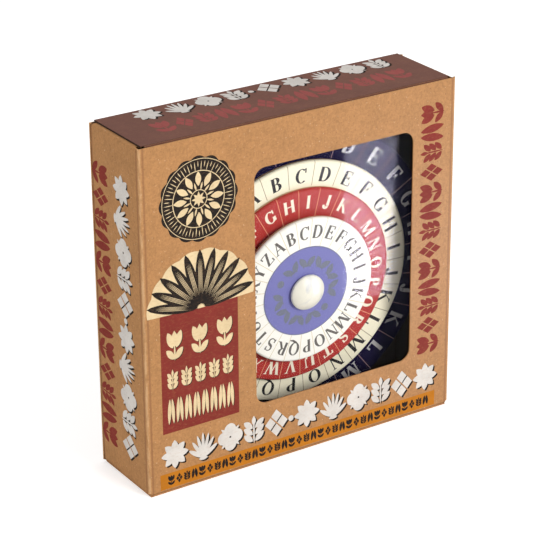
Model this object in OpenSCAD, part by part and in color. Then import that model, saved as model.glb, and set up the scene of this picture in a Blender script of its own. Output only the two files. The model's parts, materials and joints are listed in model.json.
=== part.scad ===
// Letter wheel puzzle in its window carton.
// A folded kraft carton stands upright with its window to the front (-Y).
// A stack of four lettered discs on one pivot stands loose inside: its rim on
// the floor and against the right wall, its knob leaning towards the window.
// Millimetres, +Z up, origin at the centre of the carton's underside.

/* [Carton] */
// Width of the carton, left to right
carton_w = 130; // [120:1:180]
// Depth of the carton, front to back
carton_d = 33; // [31:0.5:60]
// Height of the carton
carton_h = 130; // [128:1:180]
// Thickness of the board
board_t = 0.6; // [0.4:0.05:1]
// Outer radius of every folded edge
fold_r = 1.0; // [1:0.1:2]
// Width of the glued seam flap inside the back
seam_flap_w = 14; // [8:0.5:20]
// Distance from the seam flap's ends to the carton's top and bottom
seam_flap_end = 4; // [2.5:0.5:10]

/* [Window] */
// Width of the window
window_w = 67; // [40:0.5:70]
// Height of the window
window_h = 89.5; // [50:0.5:92]
// Corner radius of the window
window_corner_r = 4.4; // [2:0.1:10]
// Distance of the window's centre from the carton's centre, to the right
window_shift_x = 13.2; // [0:0.1:18]
// Height of the window's centre above the carton's underside
window_centre_z = 68.5; // [62:0.5:72]
// Thickness of the clear film
film_t = 0.25; // [0.1:0.05:0.4]
// Width of the glued border of the film around the window
film_border = 5; // [3:0.5:8]

/* [Closures] */
// Length of the dust flaps, from the fold to their free edge
dust_flap_len = 28; // [15:0.5:35]
// Size of the cut corners of the dust flaps
dust_flap_chamfer = 4; // [2:0.5:8]
// Gap between a dust flap's side edges and the board beside it
dust_flap_gap = 0.4; // [0.2:0.1:1]
// Length of the lid's tuck flap
tuck_len = 14; // [8:0.5:15]
// Corner radius of the tuck flap
tuck_corner_r = 5; // [2:0.5:7]
// Slant of the tuck flap towards the inside, degrees
tuck_slant = 8; // [8:0.5:11]
// Gap between the tuck flap's fold and the front panel
tuck_gap = 0.35; // [0.3:0.05:0.8]
// Slant of the lid's cut edge at the tuck flap's fold, degrees
crease_bevel = 50; // [48:1:60]
// Distance of the lid's ends from the carton's sides
lid_end_gap = 2; // [1.2:0.1:4]
// How far the front panel's cut edge lies below the lid's top
front_edge_drop = 0.3; // [0:0.05:0.5]
// Length of the inner bottom panel, front to back
bottom_inner_len = 22; // [12:0.5:26]

/* [Wheel] */
// Least space between the wheel's rim and the dust flaps above it
headroom = 8.55; // [6:0.05:20]
// Radius of the cream disc
cream_r = 47.1; // [42:0.1:50]
// Radius of the red disc
red_r = 37.7; // [33:0.1:41]
// Radius of the white disc
white_r = 28.2; // [22:0.1:32]
// Radius of the blue centre label
label_r = 17.4; // [12:0.1:21]
// Thickness of the base disc
base_t = 6; // [5.5:0.1:8]
// Thickness of each of the three turning discs, with its print
disc_t = 2.1; // [1.5:0.1:3]
// Radius of the rounded front edge of the turning discs
shoulder_r = 0.8; // [0.4:0.1:1]
// Radius of the rounded edges of the base disc
base_edge_r = 1.2; // [0.5:0.1:2]
// Thickness of the printed film on a disc's face
print_t = 0.12; // [0.1:0.01:0.2]
// How far the printed film reaches down a disc's side
print_skirt = 0.25; // [0.1:0.05:0.4]
// Gap between the white and the red disc
upper_gap = 2.11; // [1:0.01:3]
// Gap between the red and the cream disc, and the cream and the base disc
lower_gap = 0.27; // [0.2:0.01:0.6]
// How far the top of the wheel leans forward, degrees
lean = 4.3; // [0:0.1:5]
// How far the wheel is turned towards the left, degrees
yaw = 2; // [0:0.1:2.5]

/* [Pivot] */
// Radius of the pivot bolt's shank
shank_r = 2; // [1.5:0.1:2.5]
// Radius of the pivot bolt's head
head_r = 3.9; // [3.2:0.1:4.2]
// Height of the pivot bolt's head
head_h = 1.9; // [1.5:0.1:2.2]
// Width across flats of the hexagon socket in the head
socket_af = 2.5; // [2:0.1:3]
// Radius of the washer under the bolt's head
back_washer_r = 4.9; // [4.4:0.1:5.2]
// Thickness of the washer under the bolt's head
back_washer_t = 0.8; // [0.5:0.1:1]
// Radius of the counterbore in the back of the base disc
counterbore_r = 5.6; // [5.4:0.1:8]
// Depth of the counterbore in the back of the base disc
counterbore_depth = 3.3; // [3.25:0.05:4]
// Radius of the spacer between the white and the red disc
upper_spacer_r = 7; // [4:0.1:10]
// Radius of the thin washers between the lower discs
washer_r = 6; // [4:0.1:9]
// Radius of the domed knob
knob_r = 6.8; // [5:0.1:9]
// Height of the domed knob
knob_h = 4.2; // [3.5:0.1:4.6]
// Radius of the rounded rim of the knob
knob_rim_r = 1.0; // [0.5:0.1:1.2]
// How deep the bolt reaches into the knob
knob_thread = 2.4; // [1.5:0.1:2.6]

/* [Clearances] */
// Running gap between the pivot and the bores, on the radius
bore_gap = 0.08; // [0.05:0.01:0.1]
// Gap between flat faces that turn against each other
face_gap = 0.03; // [0.02:0.01:0.06]
// Gap between the knob and the label under it
knob_gap = 0.1; // [0.05:0.01:0.2]
// Thickness of the glue under the printed film
glue_gap = 0.02; // [0.01:0.01:0.03]
// Gap between the bolt and the knob's thread, on the radius
thread_gap = 0.03; // [0.02:0.01:0.05]
// Gap between layers of board that lie on each other
layer_gap = 0.05; // [0.02:0.01:0.1]
// Gap at each side of the lid's two creases
crease_gap = 0.06; // [0.04:0.01:0.1]
// Gap between the base disc and the floor
floor_gap = 0.15; // [0.1:0.05:0.3]
// Gap between the base disc and the right wall
wall_gap = 0.15; // [0.1:0.05:0.3]
// Gap between the knob and the film
film_gap = 0.3; // [0.2:0.05:0.5]

/* [Hidden] */
// Fineness of arcs
$fn = 96;
// Overlap used where a cut runs past a face
over = 1;

// Carton faces and layers
left_x = -carton_w / 2;
right_x = carton_w / 2;
front_y = -carton_d / 2;
back_y = carton_d / 2;
front_in_y = front_y + board_t;
back_in_y = back_y - board_t;
fold_in_r = fold_r - board_t;
seam_root_w = 2 * board_t;

// Bottom layers from below: outer panel, inner panel, dust flaps
bottom_inner_z = board_t + layer_gap;
bottom_flap_z = bottom_inner_z + board_t + layer_gap;
floor_z = bottom_inner_z + board_t;

// Top layers from above: lid, dust flaps
lid_z = carton_h - board_t;
top_flap_z = lid_z - layer_gap - board_t;
hinge_y = back_y - board_t / 2;
hinge_z = carton_h - board_t / 2;
lid_half_w = carton_w / 2 - lid_end_gap;
tuck_y = front_in_y + tuck_gap + board_t / 2;
tuck_half_w = lid_half_w - 1;

// Side edges of the dust flaps; the top ones swing past the leaning tuck flap
flap_back_y = back_in_y - board_t - dust_flap_gap;
bottom_flap_front_y = front_in_y + dust_flap_gap;
top_flap_front_y = tuck_y + board_t / 2 + tuck_len * sin(tuck_slant) + dust_flap_gap;

// The base disc is as large as the carton's height and width allow
base_r = min(top_flap_z - floor_z - floor_gap - headroom,
    carton_w - 2 * board_t - 2 * wall_gap) / 2;

// Edges of the sleeve's walls
side_wall_top = top_flap_z + board_t - fold_r;
side_wall_bottom = bottom_flap_z + fold_r;
front_wall_top = carton_h - front_edge_drop;
front_wall_bottom = bottom_inner_z + fold_r;
back_wall_top = hinge_z - board_t / 2 - crease_gap;
back_wall_bottom = fold_r;

// Faces of the discs, as depths behind the label's outer face
cap_t = print_t + glue_gap;
label_u = 0;
white_u = label_u + cap_t;
red_u = white_u + disc_t + upper_gap;
cream_u = red_u + disc_t + lower_gap;
base_u = cream_u + disc_t + lower_gap;
base_back_u = base_u + base_t;
bore_r = shank_r + bore_gap;
counterbore_u = base_back_u - counterbore_depth;
washer_back_u = counterbore_u + face_gap + back_washer_t;
head_u = washer_back_u + face_gap;

// Place of the label's face: rim on the floor and at the right wall, knob at the film
inward_x = sin(yaw) * cos(lean);
wheel_x = right_x - board_t - wall_gap - base_r * sqrt(1 - inward_x * inward_x)
    - inward_x * base_back_u;
wheel_z = floor_z + floor_gap + base_r * cos(lean) - base_u * sin(lean);
wheel_y = front_in_y + film_t + film_gap + (knob_h + knob_gap) * cos(lean);

// Colours as the photograph shows them
kraft = [0.80, 0.62, 0.42];
lid_brown = [0.42, 0.29, 0.25];
bare_wood = [0.79, 0.66, 0.50];
navy = [0.07, 0.07, 0.20];
cream = [0.97, 0.94, 0.84];
red = [0.75, 0.16, 0.18];
white = [0.97, 0.97, 0.95];
label_blue = [0.46, 0.46, 0.74];
steel = [0.70, 0.70, 0.72];

// ---------------------------------------------------------------- board

// Flat rectangle from one corner to the other
module rect(x0, y0, x1, y1) {
    translate([x0, y0]) square([x1 - x0, y1 - y0]);
}

// Rectangle with round corners
module round_rect(x0, y0, x1, y1, r) {
    rect(x0 + r, y0, x1 - r, y1);
    rect(x0, y0 + r, x1, y1 - r);
    for (x = [x0 + r, x1 - r], y = [y0 + r, y1 - r])
        translate([x, y]) circle(r);
}

// Board folded round a rectangle, seen along the folds
module board_ring(x0, y0, x1, y1) {
    difference() {
        round_rect(x0, y0, x1, y1, fold_r);
        round_rect(x0 + board_t, y0 + board_t, x1 - board_t, y1 - board_t, fold_in_r);
    }
}

// A quarter of a fold about the origin, between the +X and +Y directions
module fold_quarter() {
    difference() {
        intersection() {
            circle(fold_r);
            square(fold_r);
        }
        circle(fold_in_r);
    }
}

// Plan of the sleeve: three folds, and the seam where the back panel's cut
// edge lies over the root of the flap that is folded in from the left panel
module sleeve_plan() {
    difference() {
        board_ring(left_x, front_y, right_x, back_y);
        rect(left_x - over, back_y - board_t - fold_r, left_x + fold_r, back_y + over);
    }
    rect(left_x, back_in_y, left_x + fold_r, back_y);
    translate([left_x + fold_r, back_in_y - fold_r]) rotate(90) fold_quarter();
    rect(left_x + fold_r, back_in_y - board_t, left_x + fold_r + seam_root_w, back_in_y);
    rect(left_x, front_y + fold_r, left_x + board_t, back_in_y - fold_r);
}

// Plan of the seam flap glued to the inside of the back panel
module seam_flap_plan() {
    rect(left_x + fold_r, back_in_y - board_t, left_x + fold_r + seam_flap_w, back_in_y);
}

// Outline of the window with a border added, in the front panel's plane
module window_outline(border) {
    half_w = window_w / 2 + border;
    half_h = window_h / 2 + border;
    translate([window_shift_x, window_centre_z])
        round_rect(-half_w, -half_h, half_w, half_h, window_corner_r + border / 2);
}

// Stands a flat outline up in a plane that faces the front, from y0 to y1
module stand_up(y0, y1) {
    translate([0, y1, 0]) rotate([90, 0, 0]) linear_extrude(y1 - y0) children();
}

// A box from one corner to the other
module block(x0, y0, z0, x1, y1, z1) {
    translate([x0, y0, z0]) cube([x1 - x0, y1 - y0, z1 - z0]);
}

// Front, right, back and left panels with the window and the glued seam
module carton_sleeve() {
    color(kraft) difference() {
        union() {
            translate([0, 0, back_wall_bottom])
                linear_extrude(front_wall_top - back_wall_bottom) sleeve_plan();
            translate([0, 0, seam_flap_end])
                linear_extrude(carton_h - 2 * seam_flap_end) seam_flap_plan();
        }
        stand_up(front_y - over, front_in_y + over) window_outline(0);
        // the side panels end at the folds of the dust flaps
        for (side = [-1, 1]) {
            outer_x = side * (carton_w / 2 + over);
            inner_x = side * (carton_w / 2 - fold_r);
            x0 = min(outer_x, inner_x);
            x1 = max(outer_x, inner_x);
            block(x0, front_y + fold_r, side_wall_top, x1, back_y - fold_r, carton_h + over);
            block(x0, front_y + fold_r, -over, x1, back_y - fold_r, side_wall_bottom);
        }
        // the front panel ends at the fold of the inner bottom panel
        block(left_x - over, front_y - over, -over,
            right_x + over, front_y + fold_r, front_wall_bottom);
        // the back panel and the seam flap's root end under the lid's crease
        block(left_x - over, back_in_y - fold_r, back_wall_top,
            right_x + over, back_y + over, carton_h + over);
    }
}

// Clear film glued behind the window
module window_film() {
    color([0.85, 0.88, 0.95, 0.35])
        stand_up(front_in_y, front_in_y + film_t) window_outline(film_border);
}

// ------------------------------------------------------------- closures

// Outline of a dust flap: x from its fold, y from its front to its back edge
module dust_flap_outline(flap_front_y) {
    tip = dust_flap_len + fold_r;
    cut = dust_flap_chamfer;
    polygon([
        [fold_r, flap_front_y], [tip - cut, flap_front_y], [tip, flap_front_y + cut],
        [tip, flap_back_y - cut], [tip - cut, flap_back_y], [fold_r, flap_back_y]
    ]);
}

// Fold that joins a dust flap to its side panel, its underside at the bottom
module dust_flap_fold() {
    length = carton_d - 2 * fold_r - 2 * dust_flap_gap;
    translate([fold_r, length / 2, fold_r]) rotate([90, 0, 0])
        linear_extrude(length) rotate(180) fold_quarter();
}

// Places a dust flap at the left or right, upright at the bottom or turned over at the top
module place_dust_flap(side, top) {
    base_z = top ? top_flap_z + board_t : bottom_flap_z;
    color(kraft) translate([side * carton_w / 2, 0, base_z])
        mirror([side > 0 ? 1 : 0, 0, 0]) mirror([0, 0, top ? 1 : 0]) {
            linear_extrude(board_t)
                dust_flap_outline(top ? top_flap_front_y : bottom_flap_front_y);
            dust_flap_fold();
        }
}

module bottom_dust_flap_left() { place_dust_flap(-1, false); }

module bottom_dust_flap_right() { place_dust_flap(1, false); }

module top_dust_flap_left() { place_dust_flap(-1, true); }

module top_dust_flap_right() { place_dust_flap(1, true); }

// Runs a profile drawn in Y and Z along the width of the carton
module along_width(half_w) {
    translate([-half_w, 0, 0]) rotate([90, 0, 90]) linear_extrude(2 * half_w) children();
}

// Outer bottom panel, folded forward from the back panel
module bottom_outer_panel() {
    color(kraft) along_width(carton_w / 2 - fold_r) {
        rect(front_y + fold_r / 2, 0, back_y - fold_r, board_t);
        translate([back_y - fold_r, fold_r]) rotate(-90) fold_quarter();
    }
}

// Inner bottom panel, folded back from the front panel
module bottom_inner_panel() {
    color(kraft) along_width(carton_w / 2 - fold_r) translate([front_y, bottom_inner_z]) {
        rect(fold_r, 0, bottom_inner_len, board_t);
        translate([fold_r, fold_r]) rotate(180) fold_quarter();
    }
}

// Lid panel; its back edge is rounded about the crease it turns on, and its
// front edge is cut on the slant so that the tuck flap can fold in under it
module top_lid() {
    edge_y = tuck_y + board_t / 2 + crease_gap;
    color(lid_brown) along_width(lid_half_w) {
        polygon([
            [edge_y, carton_h], [edge_y + board_t * tan(crease_bevel), lid_z],
            [hinge_y, lid_z], [hinge_y, carton_h]
        ]);
        translate([hinge_y, hinge_z]) circle(board_t / 2);
    }
}

// Tuck flap, hanging behind the front panel from its rounded fold
module top_tuck_flap() {
    color(lid_brown) translate([0, tuck_y, hinge_z]) {
        rotate([0, 90, 0]) cylinder(h = 2 * tuck_half_w, r = board_t / 2, center = true);
        rotate([tuck_slant, 0, 0]) stand_up(-board_t / 2, board_t / 2) {
            corner_x = tuck_half_w - tuck_corner_r;
            corner_z = tuck_corner_r - tuck_len;
            rect(-corner_x, -tuck_len, corner_x, 0);
            rect(-tuck_half_w, corner_z, tuck_half_w, 0);
            for (x = [-corner_x, corner_x])
                translate([x, corner_z]) circle(tuck_corner_r);
        }
    }
}

// ---------------------------------------------------------------- wheel

// Takes a piece from the wheel's own frame, +Z out of the label's face, to its place
module on_wheel() {
    translate([wheel_x, wheel_y, wheel_z]) rotate([lean, 0, -yaw]) rotate([90, 0, 0])
        children();
}

// Half profile from radius r0 to r1 and z0 to z1, with a round outer front edge
module shouldered_half(r0, r1, z0, z1, edge_r) {
    rect(r0, z0, r1 - edge_r, z1);
    rect(r0, z0, r1, z1 - edge_r);
    intersection() {
        translate([r1 - edge_r, z1 - edge_r]) circle(edge_r);
        rect(r1 - edge_r, z1 - edge_r, r1, z1);
    }
}

// Wooden disc: bore, square back edge, rounded front edge
module wooden_disc(radius, face_u, thickness) {
    color(bare_wood) rotate_extrude() shouldered_half(
        bore_r, radius - cap_t, -face_u - thickness, -face_u - cap_t, shoulder_r);
}

// Printed film over a disc's face, wrapped round the rounded front edge
module face_print(radius, face_u, edge_r, ink) {
    rim_z = -face_u - cap_t - edge_r - print_skirt;
    color(ink) rotate_extrude() difference() {
        shouldered_half(bore_r, radius, rim_z, -face_u, edge_r + cap_t);
        shouldered_half(bore_r - over, radius - print_t, rim_z - over,
            -face_u - print_t, edge_r + glue_gap);
    }
}

// Flat ring about the pivot, from depth u to u + thickness
module pivot_ring(radius, u, thickness) {
    translate([0, 0, -u - thickness]) difference() {
        cylinder(h = thickness, r = radius);
        translate([0, 0, -over]) cylinder(h = thickness + 2 * over, r = bore_r);
    }
}

// Thick disc at the back of the stack, with rounded edges and a counterbore
module base_disc() {
    back_z = -base_back_u;
    front_z = -base_u - cap_t;
    wood_r = base_r - cap_t;
    color(bare_wood) on_wheel() difference() {
        rotate_extrude() {
            rect(bore_r, back_z, wood_r - base_edge_r, front_z);
            rect(bore_r, back_z + base_edge_r, wood_r, front_z - base_edge_r);
            for (z = [back_z + base_edge_r, front_z - base_edge_r])
                translate([wood_r - base_edge_r, z]) circle(base_edge_r);
        }
        translate([0, 0, back_z - over]) cylinder(h = counterbore_depth + over, r = counterbore_r);
    }
}

module base_face_print() { on_wheel() face_print(base_r, base_u, base_edge_r, navy); }

module cream_disc() { on_wheel() wooden_disc(cream_r, cream_u, disc_t); }

module cream_face_print() { on_wheel() face_print(cream_r, cream_u, shoulder_r, cream); }

module red_disc() { on_wheel() wooden_disc(red_r, red_u, disc_t); }

module red_face_print() { on_wheel() face_print(red_r, red_u, shoulder_r, red); }

module white_disc() { on_wheel() wooden_disc(white_r, white_u, disc_t); }

module white_face_print() { on_wheel() face_print(white_r, white_u, shoulder_r, white); }

// Round label on the middle of the white disc
module centre_label() { color(label_blue) on_wheel() pivot_ring(label_r, label_u, print_t); }

// Spacer that lifts the white disc off the red one
module upper_spacer() {
    color(bare_wood) on_wheel()
        pivot_ring(upper_spacer_r, red_u - upper_gap + face_gap, upper_gap - 2 * face_gap);
}

// Thin washer between the red and the cream disc
module mid_washer() {
    color("dimgray") on_wheel()
        pivot_ring(washer_r, cream_u - lower_gap + face_gap, lower_gap - 2 * face_gap);
}

// Thin washer between the cream and the base disc
module lower_washer() {
    color("dimgray") on_wheel()
        pivot_ring(washer_r, base_u - lower_gap + face_gap, lower_gap - 2 * face_gap);
}

// Washer in the counterbore, under the bolt's head
module back_washer() {
    color(steel) on_wheel() pivot_ring(back_washer_r, counterbore_u + face_gap, back_washer_t);
}

// Bolt through the whole stack, its head in the base disc's back
module pivot_bolt() {
    socket_r = socket_af / 2 / cos(30);
    color(steel) on_wheel() difference() {
        rotate_extrude() {
            rect(0, -head_u, shank_r, knob_gap + knob_thread);
            rect(0, -head_u - head_h, head_r - head_h / 3, -head_u);
            rect(0, -head_u - head_h * 2 / 3, head_r, -head_u);
            translate([head_r - head_h / 3, -head_u - head_h * 2 / 3]) circle(head_h / 3);
        }
        translate([0, 0, -head_u - head_h - over])
            cylinder(h = head_h * 0.6 + over, r = socket_r, $fn = 6);
    }
}

// Domed knob screwed on the bolt's end: a cap of a sphere that runs smoothly
// into the circle of its rounded rim
module knob() {
    rim_x = knob_r - knob_rim_r;
    dome_h = knob_h - knob_rim_r;
    sphere_r = (rim_x * rim_x + dome_h * dome_h - knob_rim_r * knob_rim_r)
        / (2 * (dome_h - knob_rim_r));
    sphere_z = knob_h - sphere_r;
    // the two arcs meet on the line through their centres
    reach = sphere_r / (sphere_r - knob_rim_r);
    touch_x = rim_x * reach;
    touch_z = sphere_z + (knob_rim_r - sphere_z) * reach;
    color(white) on_wheel() translate([0, 0, knob_gap]) difference() {
        rotate_extrude() {
            intersection() {
                translate([0, sphere_z]) circle(sphere_r);
                rect(0, touch_z, touch_x, knob_h);
            }
            rect(0, 0, rim_x, touch_z);
            translate([rim_x, knob_rim_r]) circle(knob_rim_r);
        }
        translate([0, 0, -over])
            cylinder(h = knob_thread + face_gap + over, r = shank_r + thread_gap);
    }
}

// ------------------------------------------------------------- assembly

carton_sleeve();
window_film();
bottom_outer_panel();
bottom_inner_panel();
bottom_dust_flap_left();
bottom_dust_flap_right();
top_dust_flap_left();
top_dust_flap_right();
top_lid();
top_tuck_flap();
base_disc();
base_face_print();
cream_disc();
cream_face_print();
red_disc();
red_face_print();
white_disc();
white_face_print();
centre_label();
upper_spacer();
mid_washer();
lower_washer();
back_washer();
pivot_bolt();
knob();
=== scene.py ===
"""Looks of the letter wheel puzzle in its window carton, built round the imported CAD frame.

The carton, the wheel's discs and the pivot keep their CAD solids and get procedural finishes.
This script adds what is printed or engraved on them: the lettered rings, the centre label's
ornament, and generic printed ornament on the front, the sides and the lid. Metres, +Z up.
"""

from __future__ import annotations

import json
import logging
import math
from dataclasses import dataclass, field
from enum import Enum
from typing import Callable

import bpy
import numpy as np
from mathutils import Matrix, Vector


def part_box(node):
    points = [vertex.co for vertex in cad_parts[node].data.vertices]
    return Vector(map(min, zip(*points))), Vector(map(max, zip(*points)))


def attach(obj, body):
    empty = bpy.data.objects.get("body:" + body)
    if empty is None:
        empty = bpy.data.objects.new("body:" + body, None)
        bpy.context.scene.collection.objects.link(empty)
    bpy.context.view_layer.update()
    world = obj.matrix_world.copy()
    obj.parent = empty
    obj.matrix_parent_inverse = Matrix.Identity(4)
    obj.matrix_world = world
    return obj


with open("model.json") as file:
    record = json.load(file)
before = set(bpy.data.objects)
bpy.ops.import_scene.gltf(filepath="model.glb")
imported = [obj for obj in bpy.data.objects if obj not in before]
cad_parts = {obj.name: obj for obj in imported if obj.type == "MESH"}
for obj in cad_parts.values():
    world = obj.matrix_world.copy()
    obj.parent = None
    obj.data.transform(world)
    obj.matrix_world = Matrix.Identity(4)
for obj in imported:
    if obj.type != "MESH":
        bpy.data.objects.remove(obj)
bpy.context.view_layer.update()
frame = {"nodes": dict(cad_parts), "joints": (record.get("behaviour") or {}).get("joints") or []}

log = logging.getLogger("letter_wheel_carton")

MM = 0.001
# Print lies one lift off its face and off the print below it. Within a print the strips lie
# a stagger apart, and after a cycle of them the height begins again.
LIFT = 0.009 * MM
STAGGER = 0.0007 * MM
STAGGER_CYCLE = 12
TUCK_SLANT = math.radians(8.0)

Strip = np.ndarray
Triple = tuple[float, float, float]
Colour = Triple
Socket = bpy.types.NodeSocket


# ------------------------------------------------------------------ flat shapes


def stroke(x0: float, y0: float, x1: float, y1: float, width: float) -> Strip:
    """A slanted bar with level ends: at each end two points, half the width either side.

    Args:
        x0, y0: middle of the lower end.
        x1, y1: middle of the upper end.
        width: width measured along x.

    Returns:
        Array (2, 2, 2): two edges of two points each.
    """
    half = width / 2
    left = [(x0 - half, y0), (x1 - half, y1)]
    right = [(x0 + half, y0), (x1 + half, y1)]
    return np.array([left, right], float)


def bar(x0: float, x1: float, y: float, thickness: float) -> Strip:
    """A level bar from x0 to x1, centred on y."""
    half = thickness / 2
    return np.array([[(x0, y - half), (x1, y - half)], [(x0, y + half), (x1, y + half)]], float)


def serif(x: float, y: float, half: float, height: float) -> Strip:
    """A bracketed foot: a trapezium from the full width at y to just over half of it.

    Args:
        x, y: middle of the flat side.
        half: half the width of the flat side.
        height: height towards the letter, negative for a foot at the top.

    Returns:
        The strip.
    """
    low = [(x - half, y), (x - 0.55 * half, y + height)]
    high = [(x + half, y), (x + 0.55 * half, y + height)]
    return np.array([low, high], float)


def bowl(cx: float, cy: float, rx: float, ry: float, start: float, end: float,
         side: float, cap: float, steps: int = 20) -> Strip:
    """A curved band between two ellipses about one centre, from one angle to another.

    The outer ellipse has radii rx and ry. The inner one is smaller by side in x and cap
    in y, so the band is thick at its sides and thin at its top and bottom.

    Args:
        cx, cy: centre.
        rx, ry: outer radii.
        start, end: angles in degrees, anticlockwise from +x.
        side, cap: thickness at the sides, and at the top and bottom.
        steps: number of segments.

    Returns:
        The strip.
    """
    angle = np.radians(np.linspace(start, end, steps + 1))
    cos, sin = np.cos(angle), np.sin(angle)
    outer = np.stack([cx + rx * cos, cy + ry * sin], axis=1)
    inner = np.stack([cx + (rx - side) * cos, cy + (ry - cap) * sin], axis=1)
    return np.array([outer, inner])


def ribbon(points: np.ndarray, widths: np.ndarray) -> Strip:
    """A band along a path: each point moved half the width to both sides of the tangent.

    Args:
        points: the path's points.
        widths: the band's width at each point.

    Returns:
        The strip.
    """
    tangent = np.gradient(points, axis=0)
    tangent /= np.linalg.norm(tangent, axis=1, keepdims=True)
    across = np.stack([-tangent[:, 1], tangent[:, 0]], axis=1) * (widths / 2)[:, None]
    return np.array([points + across, points - across])


def lens(cx: float, cy: float, length: float, width: float, turn: float,
         steps: int = 12, power: float = 1.0) -> Strip:
    """A leaf: a line of the given length whose half width is the sine of the way along it.

    Args:
        cx, cy: middle of the leaf.
        length, width: full length and greatest width.
        turn: direction of the leaf in degrees, anticlockwise from +x.
        steps: number of segments.
        power: exponent on the sine; above 1 the tips are drawn out.

    Returns:
        The strip.
    """
    along = np.linspace(0.0, 1.0, steps + 1)
    half = 0.5 * width * np.sin(np.pi * along) ** power
    flat = np.array([np.stack([(along - 0.5) * length, half], 1),
                     np.stack([(along - 0.5) * length, -half], 1)])
    return turned(flat, turn) + (cx, cy)


def disc(cx: float, cy: float, radius: float, steps: int = 24) -> Strip:
    """A round dot: a line of steps across it whose half width follows the circle.

    Args:
        cx, cy: centre.
        radius: its radius.
        steps: number of segments.

    Returns:
        The strip.
    """
    angle = np.linspace(0.0, np.pi, steps + 1)
    x, y = -radius * np.cos(angle), radius * np.sin(angle)
    return np.array([np.stack([x, y], 1), np.stack([x, -y], 1)]) + (cx, cy)


def diamond(cx: float, cy: float, width: float, height: float) -> Strip:
    """A lozenge with its points up, down, left and right.

    Args:
        cx, cy: centre.
        width, height: from point to point.

    Returns:
        The strip.
    """
    top = [(cx - width / 2, cy), (cx, cy + height / 2), (cx + width / 2, cy)]
    low = [(cx - width / 2, cy), (cx, cy - height / 2), (cx + width / 2, cy)]
    return np.array([top, low], float)


def turned(strip: Strip, degrees: float) -> Strip:
    """The strip turned anticlockwise about the origin.

    Args:
        strip: the strip.
        degrees: the angle.

    Returns:
        The turned strip.
    """
    a = math.radians(degrees)
    spin = np.array([[math.cos(a), math.sin(a)], [-math.sin(a), math.cos(a)]])
    return strip @ spin


# --------------------------------------------------------------------- lettering


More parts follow.
